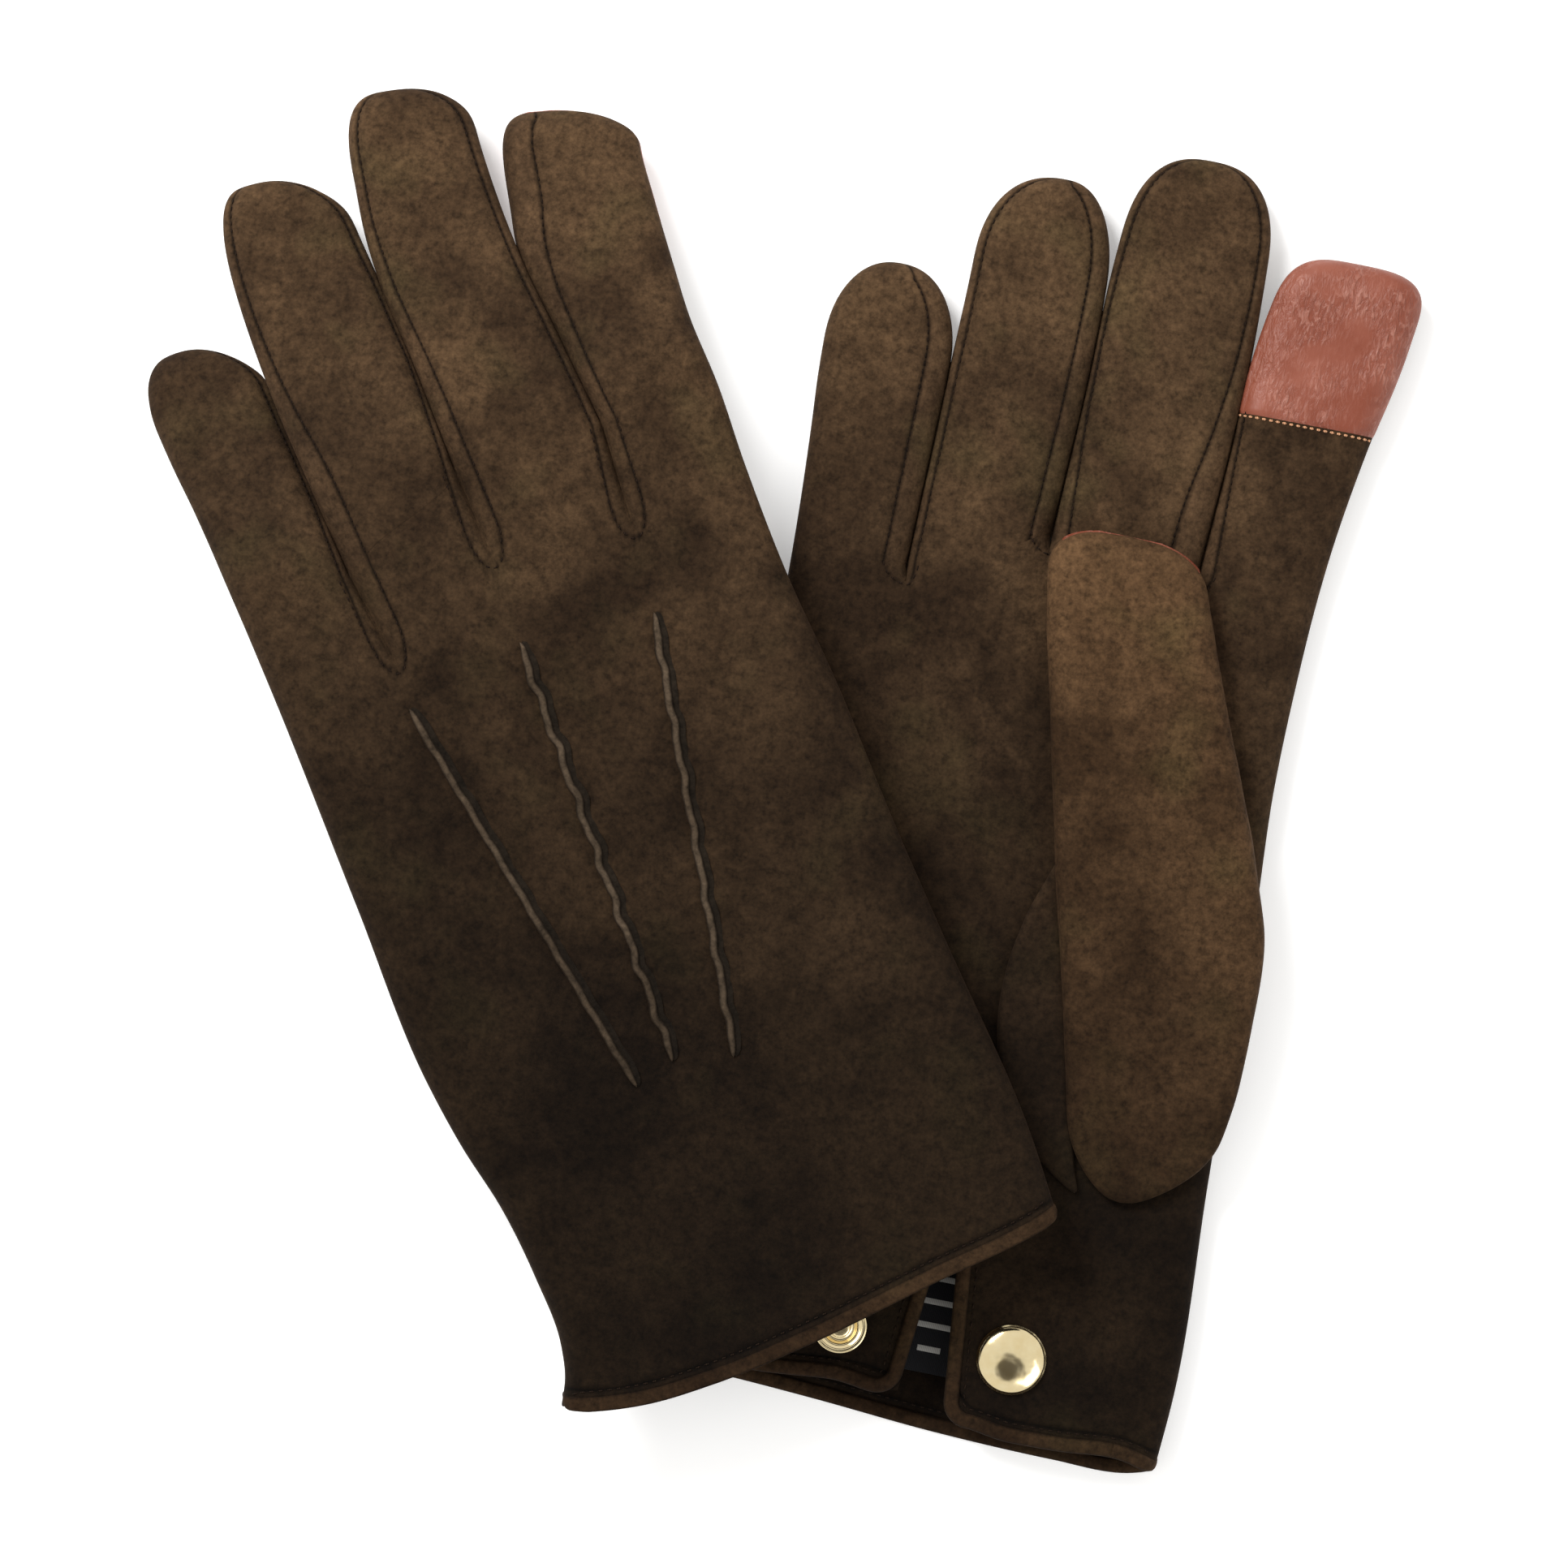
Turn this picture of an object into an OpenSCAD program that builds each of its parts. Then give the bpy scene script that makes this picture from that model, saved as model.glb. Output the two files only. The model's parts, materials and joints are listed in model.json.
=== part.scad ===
// A pair of short driving gloves, laid as they are stored: the right glove lies
// on its back with its thumb folded over the palm, and the left glove lies palm
// down across its cuff. One glove is drawn in its own frame and placed twice.
// Glove frame: X across the hand with the little finger at -X, Y from the cuff
// to the fingertips, Z from the back of the hand (0) to the palm (hand_t).

/* [Hand] */
// Length of the hand from the cuff to the crotches between the fingers
hand_len = 160; // [134:1:192]
// Overall thickness of a hand lying flat
hand_t = 9; // [7.5:0.1:12]
// Thickness of the suede
leather_t = 0.9; // [0.7:0.05:1.2]
// Thickness of the knitted lining
lining_t = 0.5; // [0.3:0.1:0.7]
// How far the little-finger side draws in at the wrist
waist_in = 4; // [2:0.5:8]
// Height above the cuff where that side is straight again
waist_y = 60; // [45:1:75]
// How far the back hangs below the cuff line at its middle
back_bow = 5; // [3:0.5:7]
// How far the palm side of the cuff rises at its middle
palm_rise = 4.5; // [2:0.5:7]

/* [Fingers] */
// Width of the little finger
pinky_w = 23; // [19:0.2:28]
// Width of the ring finger
ring_w = 25.2; // [21:0.2:31]
// Width of the middle finger
middle_w = 25.8; // [21:0.2:31]
// Width of the index finger
index_w = 25.5; // [21:0.2:31]
// Length of the little finger past its hinge line
pinky_len = 47.5; // [40:0.5:57]
// Length of the ring finger past its hinge line
ring_len = 59.5; // [49:0.5:72]
// Length of the middle finger past its hinge line
middle_len = 67.5; // [56:0.5:82]
// Length of the index finger past its hinge line
index_len = 53; // [44:0.5:64]
// How far above the crotches the little finger bends
pinky_rise = 4; // [2:0.5:8]
// How far above the crotches the other three fingers bend
finger_rise = 15; // [11:0.5:20]
// Depth of the two slots between those three fingers, below their hinge line
slot_depth = 7; // [4:0.5:9]
// Depth of the slot beside the little finger, below its hinge line
pinky_slot_depth = 5; // [3:0.5:8]

/* [Thumb] */
// Length of the thumb past its swivel
thumb_len = 109; // [90:1:112]
// Length of the thumb's round base behind its swivel
thumb_heel = 17; // [14:0.5:20]
// Width of the thumb near its tip
thumb_tip_w = 29; // [24:0.5:35]
// Width of the thumb over its base
thumb_base_w = 38.5; // [32:0.5:46.5]
// Lean of the folded thumb towards the little finger
thumb_lean = 12.2; // [8:0.2:16]
// Distance of the swivel from the index-finger side
thumb_inset = 15.5; // [13:0.5:20]
// Height of the swivel above the cuff
thumb_y = 65; // [60:0.5:75]
// Radius of the hole that joins the thumb to the palm
thumb_hole_r = 10; // [7:0.5:12]
// Width of the gore sewn along the thumb's base
gusset_w = 5.8; // [3:0.2:8]
// Thickness of the right thumb, folded over its palm
right_thumb_t = 7.4; // [7:0.1:9]
// Thickness of the left thumb, pressed flat under its palm
left_thumb_t = 4.6; // [4.2:0.1:5.6]

/* [Cuff] */
// Length of the slit in the palm side of the cuff
slit_len = 50; // [42:0.5:60]
// Width of the slit at the cuff
slit_w = 10; // [7:0.5:13]
// Radius of the two corners beside the slit
corner_r = 5; // [4:0.2:7]
// Width of the rolled hem
hem_w = 3; // [2:0.2:4]
// Thickness of the rolled hem
hem_t = 1.8; // [1.4:0.1:2.2]
// Distance of the snap flap's fold from the index-finger side, at the cuff
flap_inset = 8; // [5:0.5:12]

/* [Snap] */
// Radius of the gilt cap
cap_r = 6.6; // [5:0.1:8]
// Height of the cap's dome
cap_h = 2; // [1.4:0.1:2.4]
// Radius of the spring socket under the flap
socket_r = 5.4; // [4.4:0.1:6.5]
// Height of the socket
socket_h = 1.7; // [1.4:0.1:2]
// Radius of the stud's rim
stud_rim_r = 5.2; // [4.4:0.1:6.3]
// Thickness of the stud's rim
stud_rim_t = 0.7; // [0.5:0.1:0.9]
// Radius of the stud's head
stud_r = 2; // [1.7:0.1:2.4]
// Height of the stud's head above its rim
stud_h = 1.8; // [1.2:0.1:2.2]
// Radius of the shank that clamps each half through the leather
shank_r = 1.4; // [1:0.1:1.6]
// Distance of both halves from the edges of the slit
snap_in = 10.4; // [9:0.2:12]
// Height of both halves above the cuff line
snap_y = 15.5; // [14:0.5:18]

/* [Trim] */
// Width of a raised point on the back of the hand
point_w = 1.4; // [1:0.1:2]
// How far the points stand up where nothing presses them flat
point_h = 0.9; // [0.5:0.1:1.4]
// Length of the smooth leather pad on the index finger
patch_len = 29.5; // [24:0.5:36]
// Length of the smooth leather pad on the thumb
thumb_patch_len = 30; // [24:1:36]
// Width of the woven size label
label_w = 20; // [16:0.5:24]
// Length of the label
label_len = 38; // [30:1:42]

/* [Pair] */
// Turn of the left glove against the right one, seen from above
left_turn = 32.9; // [31:0.1:36]
// Middle of the left cuff, along the right glove
left_y = 18; // [15:0.5:21]
// Gap between the left glove and the right thumb
beside_thumb = 5.3; // [3:0.1:8]

/* [Hidden] */
$fn = 48;
// Clearance between pieces that move on each other, and between layers.
gap = 0.3;
seat = 0.05;
// Clearance under and over a folded thumb.
thumb_gap = 0.4;
// How far a cutter runs past what it cuts.
past = 1;
R = 0;
L = 1;
PINKY = 0;
RING = 1;
MIDDLE = 2;
INDEX = 3;
NODES = ["right_back_panel", "right_palm_panel", "right_back_points", "right_crotch_fourchettes",
    "right_hand_lining", "right_hem_binding", "right_size_label", "right_snap_stud",
    "right_snap_eyelet", "right_cap_flap", "right_cap_flap_binding", "right_snap_cap",
    "right_snap_socket", "right_thumb_leather", "right_thumb_gusset", "right_thumb_touch_patch",
    "right_thumb_lining", "right_index_touch_patch", "right_pinky_stall", "right_ring_stall",
    "right_middle_stall", "right_index_stall", "right_pinky_fourchette", "right_ring_fourchettes",
    "right_middle_fourchettes", "right_index_fourchette", "right_pinky_lining",
    "right_ring_lining", "right_middle_lining", "right_index_lining",
    "left_back_panel", "left_palm_panel", "left_back_points", "left_crotch_fourchettes",
    "left_hand_lining", "left_hem_binding", "left_size_label", "left_snap_stud",
    "left_snap_eyelet", "left_cap_flap", "left_cap_flap_binding", "left_snap_cap",
    "left_snap_socket", "left_thumb_leather", "left_thumb_gusset", "left_thumb_touch_patch",
    "left_thumb_lining", "left_index_touch_patch", "left_pinky_stall", "left_ring_stall",
    "left_middle_stall", "left_index_stall", "left_pinky_fourchette", "left_ring_fourchettes",
    "left_middle_fourchettes", "left_index_fourchette", "left_pinky_lining",
    "left_ring_lining", "left_middle_lining", "left_index_lining"];

SUEDE = "#3f2f22";
EDGE = "#4c3a2a";
TAN = "#a4512f";
BLACK = "#141414";
GILT = "#d9b95c";

// Finger tables, little finger first.
widths = [pinky_w, ring_w, middle_w, index_w];
lengths = [pinky_len, ring_len, middle_len, index_len];
hinge_ys = [hand_len + pinky_rise, hand_len + finger_rise, hand_len + finger_rise, hand_len + finger_rise];
leans = [1.5, 0.2, -1.5, -5.5];
palm_w = pinky_w + ring_w + middle_w + index_w;
function sum_to(i) = i == 0 ? 0 : widths[i - 1] + sum_to(i - 1);
function side_x(i) = -palm_w / 2 + sum_to(i);
function mid_x(i) = side_x(i) + widths[i] / 2;

// A finger narrows by taper to its tip, which is a rounded square tip_share widths long.
taper = 0.06;
tip_power = 2.4;
tip_share = 0.62;
function finger_round(i) = tip_share * widths[i];
// Half the width of a finger at s past its hinge line, drawn in by inset.
function finger_half(i, s, inset) =
    let (run = lengths[i] - finger_round(i),
         t = max(0, min(1, (s - run) / (finger_round(i) - inset))),
         half = widths[i] / 2 * (1 - taper * s / lengths[i]) - gap - inset)
    half * pow(1 - pow(t, tip_power), 1 / tip_power);
function tip_steps(i, inset) =
    [for (k = [0:10]) lengths[i] - finger_round(i) + (finger_round(i) - inset) * sin(k * 9)];
function mirrored(half_outline) =
    let (n = len(half_outline))
    concat(half_outline, [for (k = [n - 1:-1:0]) if (half_outline[k][0] > 0.001) [-half_outline[k][0], half_outline[k][1]]]);
function finger_outline(i, inset, start) =
    mirrored([for (s = concat([start], tip_steps(i, inset))) [finger_half(i, s, inset), s]]);

// The left palm lies over its own pressed thumb, on the right palm.
left_z = hand_t + thumb_gap + left_thumb_t + thumb_gap;
// Its fingers droop until their tips meet the table.
function droop(i) = asin((left_z - gap) / lengths[i]);

// The hand's outline. Its hem follows the back (edge 0) or the palm (edge 1), raised
// by lift, and the whole is drawn in by inset.
side_ys = concat([for (k = [6:-1:1]) waist_y * k / 6], [hem_w]);
function pinky_side(y, inset) =
    inset - palm_w / 2 + waist_in * (y < waist_y ? sin(180 * pow(max(0, y) / waist_y, 0.7)) : 0);
function index_side(inset) = palm_w / 2 - inset;
function bow(x) = 1 - pow(2 * x / palm_w, 2);
function hem_y(x, edge) = edge == 0 ? -back_bow * bow(x) : palm_rise * bow(x);
function hinge_end(i, side, inset) =
    let (reach = side * (widths[i] / 2 - gap - inset))
    [mid_x(i) + reach * cos(leans[i]), hinge_ys[i] + reach * sin(leans[i])];
slot_y = hinge_ys[RING] - slot_depth;
pinky_slot_y = hinge_ys[PINKY] - pinky_slot_depth;
function hand_tops(inset) = [
    hinge_end(INDEX, 1, inset),
    hinge_end(INDEX, -1, inset),
    [side_x(INDEX) + gap + inset, slot_y - inset],
    [side_x(INDEX) - gap - inset, slot_y - inset],
    hinge_end(MIDDLE, 1, inset),
    hinge_end(MIDDLE, -1, inset),
    [side_x(MIDDLE) + gap + inset, slot_y - inset],
    [side_x(MIDDLE) - gap - inset, slot_y - inset],
    hinge_end(RING, 1, inset),
    hinge_end(RING, -1, inset),
    [side_x(RING) + gap + inset, pinky_slot_y - inset],
    [side_x(RING) - gap - inset, pinky_slot_y - inset],
    hinge_end(PINKY, 1, inset),
    hinge_end(PINKY, -1, inset)
];
function hand_outline(inset, edge, lift) =
    let (from = pinky_side(max(0, lift), inset), run = index_side(inset) - from)
    concat([for (k = [0:12]) [from + run * k / 12, hem_y(from + run * k / 12, edge) + lift]],
           hand_tops(inset),
           [for (y = side_ys) if (y > lift + past) [pinky_side(y, inset), y]]);

module slab(points, low, high) {
    translate([0, 0, low])
        linear_extrude(height = high - low)
            polygon(points);
}

module block(from, to, low, high) {
    translate([from[0], from[1], low])
        cube([to[0] - from[0], to[1] - from[1], high - low]);
}

module pin(at, r, low, high) {
    translate([at[0], at[1], low])
        cylinder(h = high - low, r = r);
}

// Slit and snap flap in the palm side of the cuff. The flap folds on the line from
// the slit's top to its foot.
slit_x = 4.5;
slit_tip = 0.5;
slit_top = [slit_x, slit_len];
stud_edge = slit_x - slit_w / 2;
flap_edge = slit_x + slit_w / 2;
flap_foot_x = palm_w / 2 - flap_inset;
flap_foot = [flap_foot_x, hem_y(flap_foot_x, 1)];
fold_dir = (flap_foot - slit_top) / norm(flap_foot - slit_top);
fold_in = gap * [fold_dir[1], -fold_dir[0]];
function flap_outline() =
    let (c = [flap_edge, hem_y(flap_edge, 1)])
    concat([for (k = [0:5]) c + corner_r * [1 - sin(k * 18), 1 - cos(k * 18)]],
           [slit_top + [slit_tip, 0] + fold_in, flap_foot + fold_in]);
module cuff_opening(low, high) {
    slab([[stud_edge, -past], [flap_foot_x, -past], flap_foot, slit_top + [slit_tip, 0], slit_top - [slit_tip, 0]],
        low, high);
}
// The strip beside the slit, on the stud's side, that its binding covers to width w.
module slit_strip(w, low, high) {
    slab([[stud_edge - w, -past], [stud_edge + past, -past], slit_top, slit_top - [slit_tip + w, 0]], low, high);
}
cap_at = [flap_edge + snap_in, snap_y];
stud_at = [stud_edge - snap_in - stud_r, snap_y];

// The thumb's frame stands at its swivel, with Y along the thumb.
thumb_at = [palm_w / 2 - thumb_inset, thumb_y];
thumb_low = hand_t + thumb_gap;
heel_round = 30;
thumb_round = 17;
thumb_power = 2.5;
function thumb_t(g) = g == L ? left_thumb_t : right_thumb_t;
function ease(t) = let (c = max(0, min(1, t))) c * c * (3 - 2 * c);
function thumb_half(s, inset) =
    let (half = thumb_base_w / 2 + (thumb_tip_w - thumb_base_w) / 2 * ease((s - 30) / 60) - inset,
         heel = min(1, max(0, 1 - (s + thumb_heel - inset) / (heel_round - inset))),
         tip = min(1, max(0, 1 - (thumb_len - inset - s) / (thumb_round - inset))))
    half * sqrt(1 - heel * heel) * pow(1 - pow(tip, thumb_power), 1 / thumb_power);
function thumb_steps(inset) = concat(
    [for (k = [0:6]) -thumb_heel + inset + (heel_round - inset) * (1 - cos(k * 15))],
    [for (k = [1:5]) let (from = heel_round - thumb_heel) from + (thumb_len - thumb_round - from) * k / 6],
    [for (k = [0:9]) thumb_len - thumb_round + (thumb_round - inset) * sin(k * 10)]);
function thumb_outline(inset) = mirrored([for (s = thumb_steps(inset)) [thumb_half(s, inset), s]]);
module in_thumb() {
    translate([thumb_at[0], thumb_at[1], 0])
        rotate([0, 0, thumb_lean])
            children();
}
patch_from = thumb_len - thumb_patch_len;

// ---- The hand ----
point_lines = [
    [[-26.9, 131], [-13.5, 50]],
    [[-3.3, 135], [-5.4, 52]],
    [[22, 131], [5.5, 48.5]]
];
module point_strip(line, low, high) {
    run = line[1] - line[0];
    translate([line[0][0], line[0][1], low])
        rotate([0, 0, atan2(run[1], run[0])])
            translate([0, -point_w / 2, 0])
                cube([norm(run), point_w, high - low]);
}

module back_panel() {
    color(SUEDE) difference() {
        slab(hand_outline(0, 0, hem_w), 0, leather_t);
        for (line = point_lines)
            point_strip(line, -past, leather_t + past);
    }
}

// The pinched seams on the back, pressed flat on the glove that lies on them.
module back_points(g) {
    color(EDGE)
        for (line = point_lines)
            point_strip(line, g == L ? -point_h : 0, leather_t);
}

// The palm, with the outer sides that its leather is folded round.
module palm_panel() {
    color(SUEDE) difference() {
        union() {
            slab(hand_outline(0, 1, hem_w), hand_t - leather_t, hand_t);
            intersection() {
                difference() {
                    slab(hand_outline(0, 1, hem_w), leather_t, hand_t);
                    slab(hand_outline(leather_t, 1, -hem_w), 0, hand_t + past);
                }
                union() {
                    block([-palm_w, 0], [waist_in + 2 * leather_t - palm_w / 2, hinge_ys[PINKY] + past], 0, hand_t);
                    block([index_side(2 * leather_t), 0], [palm_w, hinge_ys[INDEX] + finger_rise], 0, hand_t);
                }
            }
        }
        cuff_opening(hand_t - leather_t - past, hand_t + past);
        slit_strip(hem_w, hand_t - leather_t - past, hand_t + past);
        pin(thumb_at, thumb_hole_r, hand_t - leather_t - past, hand_t + past);
        pin(stud_at, shank_r + seat, hand_t - leather_t - past, hand_t + past);
    }
}

// The strips between the back and the palm where the fingers part.
module crotch_fourchettes() {
    low = leather_t;
    high = hand_t - leather_t;
    color(EDGE) {
        difference() {
            union() {
                block([side_x(RING), pinky_slot_y - leather_t], [side_x(RING) + gap + leather_t, hinge_ys[RING] - gap],
                    low, high);
                block([side_x(RING) - gap - leather_t, pinky_slot_y - leather_t],
                    [side_x(RING), hinge_ys[PINKY] - past], low, high);
            }
            block([side_x(RING) - gap, pinky_slot_y], [side_x(RING) + gap, hinge_ys[RING]], low - past, high + past);
        }
        for (i = [MIDDLE, INDEX])
            difference() {
                block([side_x(i) - gap - leather_t, slot_y - leather_t],
                    [side_x(i) + gap + leather_t, hinge_ys[i] - gap], low, high);
                block([side_x(i) - gap, slot_y], [side_x(i) + gap, hinge_ys[i]], low - past, high + past);
            }
    }
}

// The hand's lining: a sleeve that is open to the cuff, the fingers, the thumb and the slit.
module hand_lining() {
    outer = leather_t + seat;
    inner = outer + lining_t;
    low = outer;
    high = hand_t - outer;
    under = high - lining_t;
    color(BLACK) difference() {
        slab(hand_outline(outer, 1, hem_w + past), low, high);
        slab(hand_outline(inner, 1, -hem_w), low + lining_t, under);
        for (i = [PINKY:INDEX])
            translate([mid_x(i), hinge_ys[i], 0])
                rotate([0, 0, leans[i]])
                    block([gap + inner - widths[i] / 2, -2 * past], [widths[i] / 2 - gap - inner, 2 * past],
                        low + lining_t, under);
        cuff_opening(under - past, high + past);
        slit_strip(hem_w + past, under - past, high + past);
        pin(thumb_at, thumb_hole_r, under - past, high + past);
        pin(stud_at, stud_rim_r, under - past, high + past);
    }
}

// The part of a hand's outline that the hem covers.
module hem_zone(edge, low, high) {
    difference() {
        slab(hand_outline(0, edge, 0), low, high);
        slab(hand_outline(0, edge, hem_w), low - past, high + past);
    }
}

// The rolled hem round the cuff and up the stud's side of the slit.
module hem_binding() {
    foot = hem_y(stud_edge, 1);
    color(EDGE) {
        hem_zone(0, 0, hem_t);
        intersection() {
            hem_zone(1, hem_t, hand_t - hem_t);
            union() {
                block([-palm_w, -past], [hem_t - palm_w / 2, 2 * hem_w], 0, hand_t);
                block([index_side(hem_t), -past], [palm_w, 2 * hem_w], 0, hand_t);
            }
        }
        difference() {
            union() {
                hem_zone(1, hand_t - hem_t, hand_t);
                intersection() {
                    slit_strip(hem_w, hand_t - hem_t, hand_t);
                    slab(hand_outline(0, 1, 0), 0, hand_t);
                }
            }
            cuff_opening(hand_t - hem_t - past, hand_t + past);
            difference() {
                block([stud_edge - corner_r, -past], [stud_edge + past, foot + corner_r], hem_t, hand_t + past);
                pin([stud_edge - corner_r, foot + corner_r], corner_r, 0, hand_t + 2 * past);
            }
        }
    }
}

module size_label() {
    low = leather_t + seat + lining_t;
    base = palm_rise + hem_w + 2 * past;
    color(BLACK) block([slit_x - label_w / 2, base], [slit_x + label_w / 2, base + label_len], low, low + 0.4);
}

// ---- The snap flap ----
module cap_flap() {
    color(SUEDE) difference() {
        intersection() {
            slab(flap_outline(), hand_t - leather_t, hand_t);
            translate([hem_w, hem_w, 0]) slab(flap_outline(), 0, hand_t + past);
        }
        pin(cap_at, shank_r + seat, hand_t - leather_t - past, hand_t + past);
    }
}

module cap_flap_binding() {
    color(EDGE) difference() {
        slab(flap_outline(), hand_t - hem_t, hand_t);
        translate([hem_w, hem_w, 0]) slab(flap_outline(), 0, hand_t + past);
    }
}

// A gilt dome with the shank that is riveted through the flap.
module snap_cap() {
    ball_r = (cap_r * cap_r + cap_h * cap_h) / (2 * cap_h);
    color(GILT) {
        translate([cap_at[0], cap_at[1], hand_t])
            intersection() {
                translate([0, 0, cap_h - ball_r]) sphere(r = ball_r, $fn = 96);
                cylinder(h = cap_h + past, r = cap_r);
            }
        pin(cap_at, shank_r, hand_t - leather_t - socket_h / 2, hand_t + cap_h / 4);
    }
}

module snap_socket() {
    top = hand_t - leather_t;
    color(GILT) difference() {
        pin(cap_at, socket_r, top - socket_h, top);
        pin(cap_at, shank_r, top - socket_h, top + past);
        pin(cap_at, stud_r + seat, top - socket_h - past, top - socket_h / 2);
    }
}

// ---- The stud, on the other side of the slit ----
stud_top = hand_t + stud_rim_t + stud_h;
module snap_stud() {
    color(GILT) difference() {
        union() {
            pin(stud_at, stud_rim_r, hand_t, hand_t + stud_rim_t);
            pin(stud_at, stud_r, hand_t, stud_top);
        }
        pin(stud_at, shank_r, hand_t - past, stud_top + past);
    }
}

module snap_eyelet() {
    flange_r = stud_rim_r - 0.8;
    flange_t = 0.6;
    color(GILT) difference() {
        union() {
            pin(stud_at, flange_r, hand_t - leather_t - flange_t, hand_t - leather_t);
            pin(stud_at, shank_r, hand_t - leather_t - flange_t, stud_top);
        }
        pin(stud_at, shank_r / 2, 0, stud_top + past);
    }
}

// ---- The thumb ----
module past_patch(low, high) {
    block([-thumb_base_w, patch_from], [thumb_base_w, thumb_len + past], low, high);
}

module thumb_leather(g) {
    low = thumb_low;
    high = low + thumb_t(g);
    color(SUEDE) in_thumb() difference() {
        slab(thumb_outline(0), low, high);
        slab(thumb_outline(leather_t), low + leather_t, high - leather_t);
        pin([0, 0], thumb_hole_r, low - past, low + leather_t + past / 2);
        past_patch(low - past, low + leather_t);
    }
}

module thumb_touch_patch() {
    color(TAN) in_thumb() intersection() {
        slab(thumb_outline(0), thumb_low, thumb_low + leather_t);
        past_patch(0, 2 * hand_t);
    }
}

module thumb_lining(g) {
    outer = leather_t + seat;
    low = thumb_low + outer;
    high = thumb_low + thumb_t(g) - outer;
    color(BLACK) in_thumb() difference() {
        slab(thumb_outline(outer), low, high);
        slab(thumb_outline(outer + lining_t), low + lining_t, high - lining_t);
        pin([0, 0], thumb_hole_r, low - past, low + lining_t + past / 2);
    }
}

// The flat gore sewn along the inner edge of the thumb's base.
gusset_from = -13;
gusset_to = 37;
function gusset_reach(s) = thumb_half(s, 0) + gusset_w * sin(180 * (s - gusset_from) / (gusset_to - gusset_from));
module thumb_gusset() {
    steps = [for (k = [0:10]) gusset_from + (gusset_to - gusset_from) * k / 10];
    color(EDGE) in_thumb() difference() {
        slab(concat([for (s = steps) [-gusset_reach(s), s]], [[0, gusset_to], [0, gusset_from]]),
            thumb_low, thumb_low + leather_t);
        slab(thumb_outline(-seat), 0, 2 * hand_t);
    }
}

// ---- A finger ----
module in_finger(i, g) {
    translate([mid_x(i), hinge_ys[i], hand_t])
        rotate([0, 0, leans[i]])
            rotate([g == L ? droop(i) : 0, 0, 0])
                translate([0, 0, -hand_t])
                    children();
}
// Where a finger's side is a fourchette: beside a neighbour, up to the round of its tip.
module fourchette_zone(i) {
    top = lengths[i] - finger_round(i);
    if (i != PINKY) block([-widths[i], -past], [0, top], 0, hand_t);
    if (i != INDEX) block([0, -past], [widths[i], top], 0, hand_t);
}
module finger_rim(i, low, high) {
    difference() {
        slab(finger_outline(i, 0, gap), low, high);
        slab(finger_outline(i, leather_t, -past), low - past, high + past);
    }
}
module index_pad_zone(low, high) {
    block([-index_w, index_len - patch_len], [index_w, index_len + past], low, high);
}

module finger_stall(i, g) {
    color(SUEDE) in_finger(i, g) difference() {
        union() {
            slab(finger_outline(i, 0, gap), 0, leather_t);
            slab(finger_outline(i, 0, gap), hand_t - leather_t, hand_t);
            difference() {
                finger_rim(i, 0, hand_t);
                fourchette_zone(i);
            }
        }
        if (i == INDEX) index_pad_zone(hand_t - leather_t, hand_t + past);
    }
}

module finger_fourchettes(i, g) {
    color(EDGE) in_finger(i, g) intersection() {
        finger_rim(i, leather_t, hand_t - leather_t);
        fourchette_zone(i);
    }
}

module finger_lining(i, g) {
    outer = leather_t + seat;
    color(BLACK) in_finger(i, g) difference() {
        slab(finger_outline(i, outer, gap), outer, hand_t - outer);
        slab(finger_outline(i, outer + lining_t, -past), outer + lining_t, hand_t - outer - lining_t);
    }
}

module index_touch_patch(g) {
    color(TAN) in_finger(INDEX, g) intersection() {
        slab(finger_outline(INDEX, 0, gap), hand_t - leather_t, hand_t);
        index_pad_zone(0, hand_t + past);
    }
}

// ---- The pair ----
// The left glove's edge keeps clear of the right thumb's base.
turn_off = left_turn - thumb_lean;
thumb_reach = max([for (s = thumb_steps(0)) thumb_half(s, 0) * cos(turn_off) - s * sin(turn_off)]);
left_x = (thumb_at * [cos(left_turn), sin(left_turn)] - palm_w / 2 - thumb_reach - beside_thumb
    - left_y * sin(left_turn)) / cos(left_turn);

// The piece of glove g, the last node's name without its side.
module piece(name, g) {
    if (name == "back_panel") back_panel();
    if (name == "palm_panel") palm_panel();
    if (name == "back_points") back_points(g);
    if (name == "crotch_fourchettes") crotch_fourchettes();
    if (name == "hand_lining") hand_lining();
    if (name == "hem_binding") hem_binding();
    if (name == "size_label") size_label();
    if (name == "snap_stud") snap_stud();
    if (name == "snap_eyelet") snap_eyelet();
    if (name == "cap_flap") cap_flap();
    if (name == "cap_flap_binding") cap_flap_binding();
    if (name == "snap_cap") snap_cap();
    if (name == "snap_socket") snap_socket();
    if (name == "thumb_leather") thumb_leather(g);
    if (name == "thumb_gusset") thumb_gusset();
    if (name == "thumb_touch_patch") thumb_touch_patch();
    if (name == "thumb_lining") thumb_lining(g);
    if (name == "index_touch_patch") index_touch_patch(g);
    if (name == "pinky_stall") finger_stall(PINKY, g);
    if (name == "ring_stall") finger_stall(RING, g);
    if (name == "middle_stall") finger_stall(MIDDLE, g);
    if (name == "index_stall") finger_stall(INDEX, g);
    if (name == "pinky_fourchette") finger_fourchettes(PINKY, g);
    if (name == "ring_fourchettes") finger_fourchettes(RING, g);
    if (name == "middle_fourchettes") finger_fourchettes(MIDDLE, g);
    if (name == "index_fourchette") finger_fourchettes(INDEX, g);
    if (name == "pinky_lining") finger_lining(PINKY, g);
    if (name == "ring_lining") finger_lining(RING, g);
    if (name == "middle_lining") finger_lining(MIDDLE, g);
    if (name == "index_lining") finger_lining(INDEX, g);
}

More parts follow.
